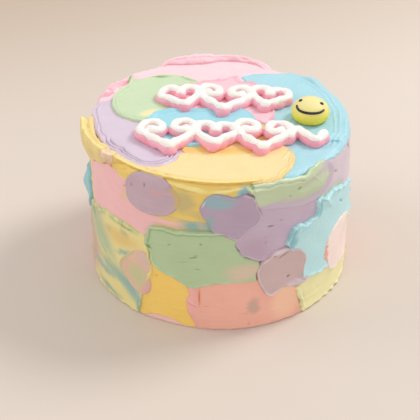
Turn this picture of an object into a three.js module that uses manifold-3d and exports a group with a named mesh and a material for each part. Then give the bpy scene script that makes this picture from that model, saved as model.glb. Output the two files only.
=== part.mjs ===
// A round birthday cake, finished with a palette knife: a base coat of buttercream covered all over
// with overlapping dabs of pastel buttercream, a ragged lip pulled up over the rim in two places, two
// garlands of piped scrolls and hearts, white on pink, and a small fondant dome with a smiling face.
//
// Millimetres, +Z up. The origin is the centre of the underside, and the front of the cake faces -Y.

import * as THREE from "three";
import { mergeVertices } from "three/addons/utils/BufferGeometryUtils.js";
import Module from "manifold-3d";

const wasm = await Module();
wasm.setup();

// ---- Driving sizes ----

const CAKE_RADIUS = 83; // of the base coat, where the cake stands
const CAKE_HEIGHT = 99;
const SIDE_LEAN = 0.045; // how far the side leans in for each millimetre up
const RIM_ROUND = 4; // radius of the rounded rim
const FOOT_CHAMFER = 0.8;
const CAKE_SIDES = 40;

const GAP = 0.3; // kept between pieces that touch
const SMEAR = 1.5; // thickness of a dab that the next ones overlap
const DAB = 2.1; // thickness of a dab laid over others
const TOP_DAB = 2.7; // thickness of the last dabs
const KNIFE_LIP = 0.7; // how far a dab's edge stands above its middle, where the knife left it
const CREST = 4.4; // height of the lips pulled up over the rim

const PINK_ROPE = 3.2; // radius of the lower layer of piping
const WHITE_ROPE = 2.5; // radius of the upper layer
const PINK_TOP = CAKE_HEIGHT + 6.6; // height that the lower layer reaches
const WHITE_TOP = PINK_TOP + GAP + 4.2;

const FACE_RADIUS = 11.5;
const FACE_FOOT = 10.2; // radius of the dome where it sits on the cake
const FACE_WAIST = 4; // height of its widest part
const FACE_HEIGHT = 13;
const FACE_AT = new THREE.Vector2(54.7, -3);
const LINE_RADIUS = 0.6; // of the piped smile

// ---- Colours ----

const finish = (color, roughness = 0.55) => new THREE.MeshStandardMaterial({ color, roughness, metalness: 0 });
const pink = finish(0xf7c3c8);
const salmon = finish(0xeea58c);
const lilac = finish(0xcbb0c8);
const green = finish(0xbdd0a0);
const lime = finish(0xe6dda6);
const yellow = finish(0xf4d283);
const blue = finish(0x9fd6dd);
const baseCoat = finish(0xf5e0d8);
const white = finish(0xfbf7f0, 0.45);
const pipedPink = finish(0xf291a5, 0.45);
const fondant = finish(0xeedf5a, 0.6);
const black = finish(0x1c1720, 0.4);

// ---- The skin of the cake: a place on it is an angle round from the front and a run from the middle of
// the top, out over the rim and down the side. A lift stands off the skin along its normal. ----

const lean = Math.atan(SIDE_LEAN);
const roundCentre = {
  r: CAKE_RADIUS - (CAKE_HEIGHT - RIM_ROUND) * SIDE_LEAN - RIM_ROUND / Math.cos(lean),
  z: CAKE_HEIGHT - RIM_ROUND,
};
const roundTurn = Math.PI / 2 - lean;
const sideRun = roundCentre.r + RIM_ROUND * roundTurn; // where the rounded rim ends and the side begins
const sideTop = roundCentre.z + RIM_ROUND * Math.sin(lean);

function skinPoint(angle, run, lift) {
  const turn = THREE.MathUtils.clamp((run - roundCentre.r) / RIM_ROUND, 0, roundTurn);
  const onTop = Math.min(run, roundCentre.r);
  const down = Math.max(run - sideRun, 0);
  const reach = RIM_ROUND + lift;
  const r = onTop + reach * Math.sin(turn) + down * Math.sin(lean);
  const z = roundCentre.z + reach * Math.cos(turn) - down * Math.cos(lean);
  return new THREE.Vector3(r * Math.sin(angle), -r * Math.cos(angle), z);
}

// The two ways that a dab's outline is given, each with its real size in millimetres per unit.
const charts = {
  // degrees round from the front, and height
  side: {
    scale: new THREE.Vector2(THREE.MathUtils.degToRad(CAKE_RADIUS), 1),
    place: (p, lift) =>
      skinPoint(THREE.MathUtils.degToRad(p.x), sideRun + (sideTop - p.y) / Math.cos(lean), lift),
  },
  // x and y, seen from above
  top: {
    scale: new THREE.Vector2(1, 1),
    place: (p, lift) => skinPoint(Math.atan2(p.x, -p.y), p.length(), lift),
  },
};

// ---- Solids ----

function solidOf(geometry) {
  const bare = geometry.clone();
  bare.deleteAttribute("normal");
  bare.deleteAttribute("uv");
  const merged = mergeVertices(bare, 1e-4);
  const faces = Array.from(merged.index.array);
  const make = (triVerts) =>
    new wasm.Manifold(
      new wasm.Mesh({
        numProp: 3,
        vertProperties: merged.attributes.position.array,
        triVerts: new Uint32Array(triVerts),
      }),
    );
  const made = make(faces);
  return made.volume() > 0 ? made : make(faces.reverse());
}

const joined = (solids) => solids.reduce((all, next) => all.add(next));
const largest = (solid) => solid.decompose().reduce((a, b) => (b.volume() > a.volume() ? b : a));

function overlap(a, b) {
  const [p, q] = [a.boundingBox(), b.boundingBox()];
  return [0, 1, 2].every((k) => p.min[k] < q.max[k] && q.min[k] < p.max[k]);
}

function meshOf(name, solid, material) {
  const made = solid.getMesh();
  const geometry = new THREE.BufferGeometry();
  geometry.setAttribute("position", new THREE.BufferAttribute(made.vertProperties, 3));
  geometry.setIndex(new THREE.BufferAttribute(made.triVerts, 1));
  geometry.computeVertexNormals();
  const mesh = new THREE.Mesh(geometry, material);
  mesh.name = name;
  return mesh;
}

// The whole cake in its base coat, standing lift further out than its own skin.
function cakeSolid(lift) {
  const rimSteps = [1, 0.5, 0].map((share) => roundCentre.r + share * (sideRun - roundCentre.r));
  const footRun = sideRun + (sideTop - FOOT_CHAMFER) / Math.cos(lean);
  const profile = [footRun, ...rimSteps].map((run) => skinPoint(Math.PI / 2, run, lift));
  const outline = [
    new THREE.Vector2(0, 0),
    new THREE.Vector2(CAKE_RADIUS - FOOT_CHAMFER + lift, 0),
    ...profile.map((p) => new THREE.Vector2(p.x, p.z)),
    new THREE.Vector2(0, CAKE_HEIGHT + lift),
  ];
  return solidOf(new THREE.LatheGeometry(outline, CAKE_SIDES).rotateX(Math.PI / 2));
}

// ---- Dabs of buttercream ----

// Each ring of a dab: how far out it lies, and its lift as a share of the thickness and of the lip.
const dabRings = {
  side: [[0, 1, 0], [0.55, 1, 0], [0.9, 1, 1], [1, 0.6, 0.4]],
  top: [[0, 1, 0], [0.92, 1, 1], [1, 0.6, 0.4]],
  crest: [[0, 1, 0], [0.5, 0.9, 0], [1, 0.2, 0]],
};

// The outline's curve as a many-sided figure in real millimetres, moved out by grown on every side.
function rimPoints(outline, scale, grown) {
  const corners = outline.map(([a, b]) => new THREE.Vector3(a, b, 0));
  const curve = new THREE.CatmullRomCurve3(corners, true, "catmullrom", 0.5);
  const count = Math.round(outline.length * 1.25);
  const rim = Array.from({ length: count }, (_, i) => {
    const p = curve.getPoint(i / count);
    return new THREE.Vector2(p.x, p.y).multiply(scale);
  });
  const outward = Math.sign(THREE.ShapeUtils.area(rim));
  return rim.map((p, i) => {
    const before = p.clone().sub(rim.at(i - 1)).normalize();
    const along = rim[(i + 1) % count].clone().sub(p).normalize().add(before).normalize();
    const reach = (grown * outward) / Math.max(along.dot(before), 0.4);
    return new THREE.Vector2(along.y, -along.x).multiplyScalar(reach).add(p);
  });
}

// A round pancake, turned on a lathe, whose rim is then drawn out to the dab's outline and which is laid
// on the skin. grown widens and raises it, to cut the dabs under it clear.
function dabSolid({ on, outline, thick, rings = dabRings[on], middle }, grown = 0) {
  const { scale, place } = charts[on];
  const rim = rimPoints(outline, scale, 2.6 * grown);
  const centre = middle
    ? new THREE.Vector2(...middle).multiply(scale)
    : rim.reduce((sum, p) => sum.add(p), new THREE.Vector2()).divideScalar(rim.length);
  const bed = -1; // the underside starts inside the cake, and is then cut to it
  const profile = rings.map(
    ([out, body, rise]) => new THREE.Vector2(out, body * thick + rise * KNIFE_LIP + 2 * grown),
  );
  const pancake = new THREE.LatheGeometry(
    [...profile, new THREE.Vector2(1, bed), new THREE.Vector2(0, bed)],
    rim.length,
  );
  const points = pancake.attributes.position;
  for (let i = 0; i < points.count; i++) {
    const [x, lift, z] = [points.getX(i), points.getY(i), points.getZ(i)];
    const share = Math.atan2(x, z) / (2 * Math.PI) + 1;
    const out = rim[Math.round(share * rim.length) % rim.length];
    const placed = place(centre.clone().lerp(out, Math.hypot(x, z)).divide(scale), lift);
    points.setXYZ(i, placed.x, placed.y, placed.z);
  }
  return solidOf(pancake);
}

// A slightly wider, flat-topped dab, to cut its neighbours clear of it up to some height above it.
function clearanceOf(dab, above) {
  const rings = (dab.rings ?? dabRings[dab.on]).map(([out]) => [out, 1, 0]);
  return dabSolid({ ...dab, thick: dab.thick + above, rings }, GAP);
}

const dabs = [];
const lay = (name, material, thick, on, outline, more = {}) =>
  dabs.push({ name, material, thick, on, outline, ...more });

// The front and the two flanks of the side, from the lowest dab up.
lay("dab_yellow_curtain", yellow, SMEAR, "side",
  [[-100, 99], [-84, 100], [-68, 100], [-56, 98], [-62, 86], [-64, 72], [-64, 60], [-68, 56], [-72, 66], [-88, 76], [-101, 86]]);
lay("dab_pink_left", pink, SMEAR, "side",
  [[-66, 87], [-60, 91], [-50, 97], [-41, 93], [-26, 86], [-10, 81], [-4, 76], [-10, 69], [-22, 68], [-31, 60], [-42, 63], [-54, 63], [-64, 57], [-66, 70]]);
lay("dab_yellow_front", yellow, SMEAR, "side",
  [[-51, 98], [-34, 100], [-14, 100], [4, 100], [12, 98], [8, 90], [2, 82], [-6, 76], [-16, 79], [-28, 84], [-42, 91]]);
lay("dab_lilac_strip", lilac, SMEAR, "side",
  [[-70, 50], [-62, 46], [-54, 34], [-54, 22], [-66, 16], [-80, 20], [-84, 36], [-78, 48]]);
lay("dab_marbled", yellow, SMEAR, "side",
  [[-56, 64], [-43, 65], [-32, 61], [-27, 52], [-27, 38], [-29, 22], [-32, 8], [-38, 2.5], [-52, 2.5], [-64, 6], [-66, 20], [-58, 32], [-62, 46], [-66, 56]]);
lay("dab_yellow_low", yellow, SMEAR, "side",
  [[-29, 50], [-20, 42], [-8, 38], [-6, 26], [-6, 12], [-8, 4], [-20, 6], [-33, 3], [-33, 14], [-31, 26], [-29, 38]]);
lay("dab_salmon", salmon, DAB, "side",
  [[-12, 34], [2, 40], [16, 40], [28, 34], [36, 26], [37, 12], [35, 3], [14, 2], [-7, 2.5], [-11, 10], [-13, 22]]);
lay("dab_lime", lime, DAB, "side",
  [[33, 27], [42, 32], [56, 33], [68, 28], [74, 18], [74, 8], [64, 3], [50, 2.5], [38, 3], [35, 11], [34, 19]]);
lay("dab_green_middle", green, DAB, "side",
  [[-29, 62], [-27, 69], [-14, 71], [0, 72], [7, 69], [10, 60], [15, 52], [17, 44], [14, 38.5], [0, 36.5], [-10, 31.5], [-20, 38.5], [-28, 46], [-30, 55]]);
lay("dab_lilac_wide", lilac, DAB, "side",
  [[13, 88], [26, 90], [40, 88], [47, 80], [42, 68], [34, 58], [26, 51], [18.5, 49.5], [11, 52.5], [7, 58], [5, 66], [8, 76]]);
lay("dab_green_shoulder", green, DAB, "side",
  [[9.5, 97], [14, 100.5], [26, 100], [38, 100], [50, 100.5], [58, 96], [56, 84], [47, 79], [36, 83], [24, 86.5], [15, 89], [11.5, 93]]);
lay("dab_lilac_flank", lilac, DAB, "side",
  [[45.5, 99], [56, 101], [70, 101], [82, 98], [84, 86], [76, 75], [65, 75], [56, 82], [48.5, 88], [45, 94]]);
lay("dab_lilac_tongue", lilac, TOP_DAB, "side",
  [[-8, 86], [-5, 92.5], [-1, 95.5], [5, 94], [10, 95], [14, 91], [16.5, 84], [15.5, 76], [11.5, 71], [4, 73.5], [-2, 75], [-6, 80]]);
lay("dab_blue_flank", blue, TOP_DAB, "side",
  [[42, 79], [49, 80], [58, 79], [69, 75], [74, 67], [70, 52], [60, 40], [50, 28.5], [38, 28.5], [33, 42], [28, 56], [30, 67], [38, 68.5]]);
lay("dab_pink_flank", pink, TOP_DAB, "side",
  [[50.5, 47], [56, 54], [62, 54], [66, 46], [67, 34], [64, 23], [56, 20], [50.5, 24], [48, 32], [48.5, 40]]);
lay("dab_lilac_oval", lilac, TOP_DAB, "side",
  [[-29, 100], [-22, 97], [-18.5, 90], [-20, 80], [-28, 76], [-36, 78], [-40, 86], [-39, 94], [-35, 99]]);
lay("dab_lilac_low", lilac, TOP_DAB, "side",
  [[18, 52], [24, 56], [31, 53], [36.5, 48], [37.5, 39], [36.5, 28], [29, 26], [21.5, 23.5], [17, 30], [15.5, 40], [16.5, 47]]);
lay("dab_pink_smear", pink, DAB, "side",
  [[-35, 48], [-30, 46], [-28, 37], [-28, 27], [-31, 20], [-36, 18], [-42, 24], [-44.5, 32], [-41, 42]]);
lay("dab_blue_bulge", blue, TOP_DAB, "side",
  [[-72, 65], [-78, 72], [-88, 73], [-97, 66], [-96, 52], [-86, 44], [-76, 50], [-71, 57]]);

// The back of the side: rows of broad dabs, each a rounded rectangle with two slow waves in its outline.
const BACK_ROWS = [
  { height: 73, half: 25, first: 90, step: 39, colours: [green, pink, yellow, blue, lilac] },
  { height: 26, half: 25, first: 92, step: 40, colours: [salmon, blue, lilac, lime, pink] },
];
const BACK_HALF_WIDTH = 24; // degrees
const BACK_POINTS = 10;
const TOP_LIMIT = 96;
const FOOT_LIMIT = 2.5;

function wavyOutline(centre, halfWidth, halfHeight, seed) {
  return Array.from({ length: BACK_POINTS }, (_, i) => {
    const a = (2 * Math.PI * i) / BACK_POINTS;
    const square = (Math.abs(Math.cos(a)) ** 3 + Math.abs(Math.sin(a)) ** 3) ** (-1 / 3);
    const wave = 1 + 0.07 * Math.sin(2 * a + 1.7 * seed) + 0.06 * Math.sin(3 * a + 2.9 * seed);
    const height = centre[1] + halfHeight * square * wave * Math.sin(a);
    return [
      centre[0] + halfWidth * square * wave * Math.cos(a),
      THREE.MathUtils.clamp(height, FOOT_LIMIT, TOP_LIMIT),
    ];
  });
}

BACK_ROWS.forEach(({ height, half, first, step, colours }, row) => {
  colours.forEach((material, i) => {
    const seed = row * colours.length + i + 1;
    const outline = wavyOutline([first + step * i, height], BACK_HALF_WIDTH, half, seed);
    lay(`dab_back_${seed}`, material, i % 2 ? DAB : SMEAR, "side", outline);
  });
});

// The top, from the lowest dab up.
lay("dab_top_pink", pink, SMEAR, "top",
  [[-72, 20], [-65, 38], [-49, 57], [-26, 71], [0, 76], [26, 71], [47, 58], [58, 45], [36, 30], [0, 20], [-40, 8], [-64, 8]]);
lay("dab_top_lilac", lilac, SMEAR, "top",
  [[-78, 4], [-75, 19], [-64, 22], [-46, 10], [-28, -10], [-16, -32], [-19, -46], [-27, -57], [-39, -63], [-54, -56], [-68, -38], [-76, -18]]);
lay("dab_top_yellow_inner", yellow, SMEAR, "top",
  [[16, 8], [28, 4], [36, -10], [38, -28], [34, -42], [12, -50], [-12, -50], [-22, -42], [-14, -24], [0, -6]]);
lay("dab_top_blue", blue, SMEAR, "top",
  [[15, 50], [22, 57], [40, 58], [54, 54], [66, 41], [75, 22], [78.5, 0], [75, -22], [66, -42], [52, -58], [36, -70], [30, -72], [33, -58], [38, -42], [34, -24], [28, -8], [26, 14], [23, 36]],
  { middle: [57, -2] });
lay("dab_top_green", green, DAB, "top",
  [[-60, 40], [-50, 48], [-34, 53.5], [-20, 50], [-12, 42], [-10, 24], [-18, 6], [-32, -7], [-46, -11], [-58, -5], [-66, 8], [-66, 26]]);
lay("dab_top_pink_inner", pink, DAB, "top",
  [[-16, 41], [-4, 46], [7, 50.5], [15, 43], [27, 37], [32, 22], [34, 6], [30, -9], [16, -6], [-10, 4], [-34, 10], [-34, 24]]);
lay("dab_top_yellow", yellow, DAB, "top",
  [[-21, -46], [-4, -47.5], [14, -46.5], [32, -40], [42, -44], [42, -56], [36, -66], [22, -75], [4, -78.5], [-16, -77], [-34, -70.5], [-46, -64], [-30, -58]]);
lay("dab_top_blue_inner", blue, TOP_DAB, "top",
  [[-46, -14], [-42, -3], [-32, 3], [-16, 5], [0, 5], [13, 6], [21, -3], [20, -18], [11, -30], [-6, -35], [-26, -37.5], [-41, -30]]);

// The lips that the knife pulled up over the rim.
lay("crest_yellow", yellow, CREST, "side",
  [[-97, 99], [-90, 104], [-78, 105], [-66, 105], [-54, 104], [-44, 102], [-38, 100], [-46, 97.5], [-58, 96], [-72, 94], [-88, 93], [-95, 95]],
  { rings: dabRings.crest });
lay("crest_pink", pink, CREST, "side",
  [[145, 101], [153, 103], [166, 104], [180, 104], [194, 105], [206, 105], [215, 102], [212, 97], [200, 95], [180, 95], [162, 96], [147, 97]],
  { rings: dabRings.crest });

// ---- Piping: ropes with flattened faces, laid level ----

const ROPE_SIDES = 6;
const HEIGHT_ABOVE_SKIN = 0.6; // where the lower layer starts, before it is cut to the dabs under it

// A rope along points [x, y], from z = foot to z = top.
function ropeSolid(points, radius, foot, top) {
  const half = (top - foot) / 2;
  const path = new THREE.CatmullRomCurve3(points.map(([x, y]) => new THREE.Vector3(x, y, foot + half)));
  const section = new THREE.Shape(
    Array.from({ length: ROPE_SIDES }, (_, i) => {
      const a = ((i + 0.5) * 2 * Math.PI) / ROPE_SIDES;
      const corner = 1 / Math.cos(Math.PI / ROPE_SIDES);
      return new THREE.Vector2(half * corner * Math.cos(a), radius * corner * Math.sin(a));
    }),
  );
  const steps = Math.max(4, Math.round(path.getLength() / (1.9 * radius)));
  return solidOf(new THREE.ExtrudeGeometry(section, { steps, extrudePath: path, bevelEnabled: false }));
}

const turned = (points, [x, y], degrees) =>
  points.map(([px, py]) => {
    const p = new THREE.Vector2(px, py).rotateAround(new THREE.Vector2(), THREE.MathUtils.degToRad(degrees));
    return [x + p.x, y + p.y];
  });

// A heart in two strokes. Each starts at the point, goes up round its lobe, and ends in the dip between
// the lobes or, with more turns, rolled up inside its own.
const DIP = 5;
const ROLLED = 8;
function heart(at, size, tilt, turns = DIP) {
  const lobe = size / 4;
  const shrink = turns > DIP ? 0.08 : 0;
  return [-1, 1].map((side) => {
    const points = [[0, -0.62 * size]];
    for (let i = 0; i <= turns; i++) {
      const a = THREE.MathUtils.degToRad(-38 + 43.6 * i);
      const r = lobe * (1 - shrink * i);
      points.push([side * (lobe + r * Math.cos(a)), r * Math.sin(a)]);
    }
    return turned(points, at, tilt);
  });
}

// A tail: a wave that dies away from its first end to its last.
function tail(from, to, height) {
  const [start, end] = [new THREE.Vector2(...from), new THREE.Vector2(...to)];
  const along = end.clone().sub(start);
  const across = new THREE.Vector2(-along.y, along.x).setLength(height);
  const steps = 8;
  return [
    Array.from({ length: steps + 1 }, (_, i) => {
      const share = i / steps;
      const off = Math.sin(2 * Math.PI * share) * (1 - 0.4 * share);
      return start.clone().addScaledVector(along, share).addScaledVector(across, off).toArray();
    }),
  ];
}

const garlands = {
  upper: [...heart([-25, 20], 25, 12), ...heart([3, 21], 34, -4, ROLLED), ...heart([31, 20], 24, -14)],
  lower: [
    ...heart([-31, -24], 34, 5, ROLLED),
    ...heart([-3, -26], 25, -6),
    ...heart([25, -24], 34, -5, ROLLED),
    ...tail([40, -32], [60, -30], 8),
  ],
};

// ---- The fondant dome and its face ----

function domeSolid() {
  const outline = [new THREE.Vector2(0, 0), new THREE.Vector2(FACE_FOOT, 0)];
  const steps = 5;
  for (let i = 0; i <= steps; i++) {
    const a = (Math.PI / 2) * (i / steps);
    outline.push(new THREE.Vector2(FACE_RADIUS * Math.cos(a), FACE_WAIST + (FACE_HEIGHT - FACE_WAIST) * Math.sin(a)));
  }
  outline[outline.length - 1].x = 0;
  return solidOf(new THREE.LatheGeometry(outline, 20).rotateX(Math.PI / 2));
}

// A point on the dome: degrees round from its right, and height above its foot. out stands off it.
function onDome(degrees, height, out) {
  const rise = (height - FACE_WAIST) / (FACE_HEIGHT - FACE_WAIST);
  const a = THREE.MathUtils.degToRad(degrees);
  const around = Math.sqrt(1 - rise * rise);
  const normal = new THREE.Vector2(around / FACE_RADIUS, rise / (FACE_HEIGHT - FACE_WAIST)).normalize();
  const r = FACE_RADIUS * around + out * normal.x;
  return new THREE.Vector3(r * Math.cos(a), r * Math.sin(a), height + out * normal.y);
}

const SMILE = { from: -161, to: -42, ends: 9.2, middle: 8 }; // degrees round the dome, and heights
const EYES = [[-174, 11.3], [-32, 11]];
const EYE_SIZE = [1.2, 0.9, 0.6];

function smileSolid() {
  const steps = 12;
  const points = Array.from({ length: steps + 1 }, (_, i) => {
    const share = i / steps;
    const height = SMILE.middle + (SMILE.ends - SMILE.middle) * (2 * share - 1) ** 4;
    return onDome(THREE.MathUtils.lerp(SMILE.from, SMILE.to, share), height, GAP + LINE_RADIUS);
  });
  const section = new THREE.Shape().absarc(0, 0, LINE_RADIUS, 0, 2 * Math.PI);
  const path = new THREE.CatmullRomCurve3(points);
  const line = { steps: 12, curveSegments: 3, extrudePath: path, bevelEnabled: false };
  return solidOf(new THREE.ExtrudeGeometry(section, line));
}

function eyeSolid([degrees, height]) {
  const out = onDome(degrees, height, 1).sub(onDome(degrees, height, 0));
  const turn = new THREE.Quaternion().setFromUnitVectors(new THREE.Vector3(0, 0, 1), out);
  const at = onDome(degrees, height, GAP + EYE_SIZE[2]);
  const eye = new THREE.SphereGeometry(1, 8, 5).rotateX(Math.PI / 2).scale(...EYE_SIZE).applyQuaternion(turn);
  return solidOf(eye.translate(at.x, at.y, at.z));
}

// ---- The cake, put together ----

const cake = new THREE.Group();
cake.add(meshOf("cake", cakeSolid(0), baseCoat));

// A dab lies on the base coat and makes room for every dab laid after it. Scraps cut loose are left out.
const clearOfCake = cakeSolid(GAP);
const knives = dabs.map((dab) => clearanceOf(dab, 2.5));
dabs.forEach((dab, i) => {
  const cutters = [clearOfCake, ...knives.slice(i + 1)];
  const whole = dabSolid(dab);
  const cut = cutters.filter((cutter) => overlap(whole, cutter)).reduce((a, b) => a.subtract(b), whole);
  cake.add(meshOf(dab.name, largest(cut), dab.material));
});

// The lower piping follows the dabs that it crosses, and the upper piping lies on its flattened back.
const onTop = dabs.filter((dab) => dab.on === "top");
const covers = onTop.map((dab) => clearanceOf(dab, KNIFE_LIP - GAP / 2));
const bed = joined([clearOfCake, ...covers]);
for (const [row, strokes] of Object.entries(garlands)) {
  const foot = CAKE_HEIGHT + HEIGHT_ABOVE_SKIN;
  const lower = joined(strokes.map((points) => ropeSolid(points, PINK_ROPE, foot, PINK_TOP)));
  const upper = joined(strokes.map((points) => ropeSolid(points, WHITE_ROPE, PINK_TOP + GAP, WHITE_TOP)));
  cake.add(meshOf(`piping_pink_${row}`, largest(lower.subtract(bed)), pipedPink));
  cake.add(meshOf(`piping_white_${row}`, largest(upper), white));
}

const face = new THREE.Group();
face.position.set(FACE_AT.x, FACE_AT.y, CAKE_HEIGHT + SMEAR + KNIFE_LIP / 2 + GAP);
face.add(meshOf("dome", domeSolid(), fondant));
face.add(meshOf("smile", smileSolid(), black));
EYES.forEach((eye, i) => face.add(meshOf(["eye_left", "eye_right"][i], eyeSolid(eye), black)));
cake.add(face);

export default cake;
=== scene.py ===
import math

import bmesh
import bpy
import numpy as np
from mathutils import Matrix, Vector


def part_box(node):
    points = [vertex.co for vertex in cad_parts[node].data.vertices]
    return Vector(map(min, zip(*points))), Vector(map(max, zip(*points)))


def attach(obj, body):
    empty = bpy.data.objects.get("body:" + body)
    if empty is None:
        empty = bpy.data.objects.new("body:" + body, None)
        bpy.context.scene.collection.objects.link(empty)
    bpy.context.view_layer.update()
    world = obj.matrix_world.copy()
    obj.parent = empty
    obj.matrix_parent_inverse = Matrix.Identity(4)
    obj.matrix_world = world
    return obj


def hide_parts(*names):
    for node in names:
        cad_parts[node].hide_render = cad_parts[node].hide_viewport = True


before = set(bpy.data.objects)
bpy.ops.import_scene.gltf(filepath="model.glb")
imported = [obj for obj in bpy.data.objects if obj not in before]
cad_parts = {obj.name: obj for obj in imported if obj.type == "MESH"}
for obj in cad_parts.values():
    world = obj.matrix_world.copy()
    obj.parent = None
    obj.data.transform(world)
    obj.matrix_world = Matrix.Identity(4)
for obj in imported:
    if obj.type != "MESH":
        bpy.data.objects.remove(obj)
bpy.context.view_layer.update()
print("frame loaded:", len(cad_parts), "nodes")

# A round birthday cake in pastel buttercream. Shapes are worked out in millimetres and written to the
# meshes in metres. +Z is up and the front of the cake faces -Y.

mm = 0.001


def smooth(share):
    share = np.clip(share, 0, 1)
    return share * share * (3 - 2 * share)


def hump(value, at, width):  # 1 at a place, fading off it to both sides
    return np.exp(-(((value - at) / width) ** 2))


def ripple(seed, wave, *axes):  # soft unevenness around 0, mostly within -2 to 2
    draw = np.random.default_rng(seed)
    total = 0
    for _ in range(8):
        heading = draw.normal(size=len(axes))
        heading *= draw.uniform(0.7, 1.5) * math.tau / (wave * np.linalg.norm(heading))
        total = total + np.sin(sum(h * a for h, a in zip(heading, axes)) + draw.uniform(0, math.tau))
    return total / 2


# The skin of the cake. A place on it is an angle round from the front and a run from the middle of the
# top, out over the rim and down the side. A lift stands off it.

skin = {
    "radius": 83.0,  # of the base coat, where the cake stands
    "height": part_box("cake")[1][2] / mm,
    "leanIn": 0.045,  # how far the side leans in for each millimetre up
    "rimRound": 4.0,
    "waver": 0.3,  # how far the hand-smoothed side wanders in and out
    "sag": 2.0,  # how far the rim has settled, behind at the right
    "sagAt": 149,  # degrees round from the front
    "sagWidth": 9,
}
lean = math.atan(skin["leanIn"])
roundTurn = math.pi / 2 - lean
roundAt = (skin["radius"] - (skin["height"] - skin["rimRound"]) * skin["leanIn"]
           - skin["rimRound"] / math.cos(lean))
sideRun = roundAt + skin["rimRound"] * roundTurn  # where the rim's round ends and the side begins
sideTop = skin["height"] - skin["rimRound"] * (1 - math.sin(lean))
footRun = sideRun + sideTop / math.cos(lean)
degreeWidth = 1.449  # millimetres of side for each degree, half way up


def settled(degrees):
    return skin["sag"] * hump((degrees - skin["sagAt"] + 180) % 360, 180, skin["sagWidth"])


def onSkin(angle, run, lift):
    turn = np.clip((run - roundAt) / skin["rimRound"], 0, roundTurn)
    down = np.maximum(run - sideRun, 0)
    east, north = np.sin(angle), -np.cos(angle)
    around = skin["radius"] * east, skin["radius"] * north
    lift = lift + skin["waver"] * ripple(3, 52, *around, run) * smooth((run - 60) / 25)
    lift = lift - settled(np.degrees(angle)) * hump(run, sideRun - 3, 8)
    reach = np.minimum(run, roundAt) + (skin["rimRound"] + lift) * np.sin(turn) + down * math.sin(lean)
    height = skin["height"] - skin["rimRound"] * (1 - np.cos(turn)) + lift * np.cos(turn)
    height = height - down * math.cos(lean)
    return np.stack([reach * east, reach * north, height], -1)


# Two charts unroll the skin: "side" has degrees across, here as millimetres, and height up, and "top" is
# seen from above.


def toSkin(chart, u, v):
    if chart == "top":
        return np.arctan2(u, -v), np.hypot(u, v)
    return np.radians(u / degreeWidth), sideRun + (sideTop - v) / math.cos(lean)


def toChart(chart, angle, run, middle):
    if chart == "top":
        return run * np.sin(angle), -run * np.cos(angle)
    across = (np.degrees(angle) - middle / degreeWidth + 180) % 360 - 180 + middle / degreeWidth
    return across * degreeWidth, sideTop - (run - sideRun) * math.cos(lean)


def inChart(chart, points):
    points = np.array(points, float)
    if chart == "side":
        points[:, 0] *= degreeWidth
    return points


# What has been laid on so far is kept as a field over the skin, unrolled round the middle of the top.

cell = 1.0
fieldAxis = np.arange(-184, 184, cell)
fieldU, fieldV = np.meshgrid(fieldAxis, fieldAxis)
fieldRun = np.hypot(fieldU, fieldV)
fieldAngle = np.arctan2(fieldU, -fieldV)
farOutside = -99.0  # depth of a place that is nowhere near a dab


def blurred(field, width):
    waves = np.fft.fftfreq(len(fieldAxis))[:, None] ** 2 + np.fft.rfftfreq(len(fieldAxis))[None] ** 2
    fade = np.exp(-2 * (math.pi * width / cell) ** 2 * waves)
    return np.fft.irfft2(np.fft.rfft2(field) * fade, s=field.shape)


def sampled(field, angle, run):
    col = (run * np.sin(angle) - fieldAxis[0]) / cell
    row = (-run * np.cos(angle) - fieldAxis[0]) / cell
    col, row = (np.clip(place, 0, len(fieldAxis) - 1.001) for place in (col, row))
    left, low = col.astype(int), row.astype(int)
    across, up = col - left, row - low
    lower = field[low, left] * (1 - across) + field[low, left + 1] * across
    upper = field[low + 1, left] * (1 - across) + field[low + 1, left + 1] * across
    return lower * (1 - up) + upper * up


def throughPoints(points, at):
    # a smooth curve through the points, at counting along them and round again
    points = np.asarray(points, float)
    i = np.floor(at).astype(int)
    t = (at - i).reshape(-1, *[1] * (points.ndim - 1))
    a, b, c, d = (points[(i + k) % len(points)] for k in (-1, 0, 1, 2))
    return (2 * b + (c - a) * t + (2 * a - 5 * b + 4 * c - d) * t * t + (3 * b - a - 3 * c + d) * t ** 3) / 2


def evenlySpaced(bends, step):
    gone = np.concatenate([[0], np.cumsum(np.linalg.norm(np.diff(bends, axis=0), axis=1))])
    at = np.linspace(0, gone[-1], max(int(gone[-1] / step), 4) + 1)
    return np.stack([np.interp(at, gone, bends[:, k]) for k in (0, 1)], -1), at


def closedCurve(points, step):
    bends = throughPoints(points, np.arange(0, len(points), 0.05))
    return evenlySpaced(np.concatenate([bends, bends[:1]]), step)[0][:-1]


def openCurve(points, step):
    points = np.array(points, float)
    points = np.concatenate([[2 * points[0] - points[1]], points, [2 * points[-1] - points[-2]]])
    return evenlySpaced(throughPoints(points, np.linspace(1, len(points) - 2, 20 * len(points))), step)


def nearestOn(loop, u, v):
    # for each place, how far inside the loop it is, and the closest place on the loop
    start, end = loop, np.roll(loop, -1, axis=0)
    along = end - start
    depth, closest = np.empty(len(u)), np.empty((len(u), 2))
    for at in range(0, len(u), 3000):
        du = u[at:at + 3000, None] - start[:, 0]
        dv = v[at:at + 3000, None] - start[:, 1]
        share = np.clip((du * along[:, 0] + dv * along[:, 1]) / (along ** 2).sum(1), 0, 1)
        away = np.hypot(du - share * along[:, 0], dv - share * along[:, 1])
        best = away.argmin(1)
        crosses = (dv < 0) != (v[at:at + 3000, None] < end[:, 1])
        with np.errstate(divide="ignore", invalid="ignore"):
            meets = du < dv / along[:, 1] * along[:, 0]
        inside = (crosses & meets).sum(1) % 2 == 1
        rows = np.arange(len(best))
        depth[at:at + 3000] = np.where(inside, 1, -1) * away[rows, best]
        closest[at:at + 3000] = start[best] + share[rows, best][:, None] * along[best]
    return depth, closest


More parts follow.
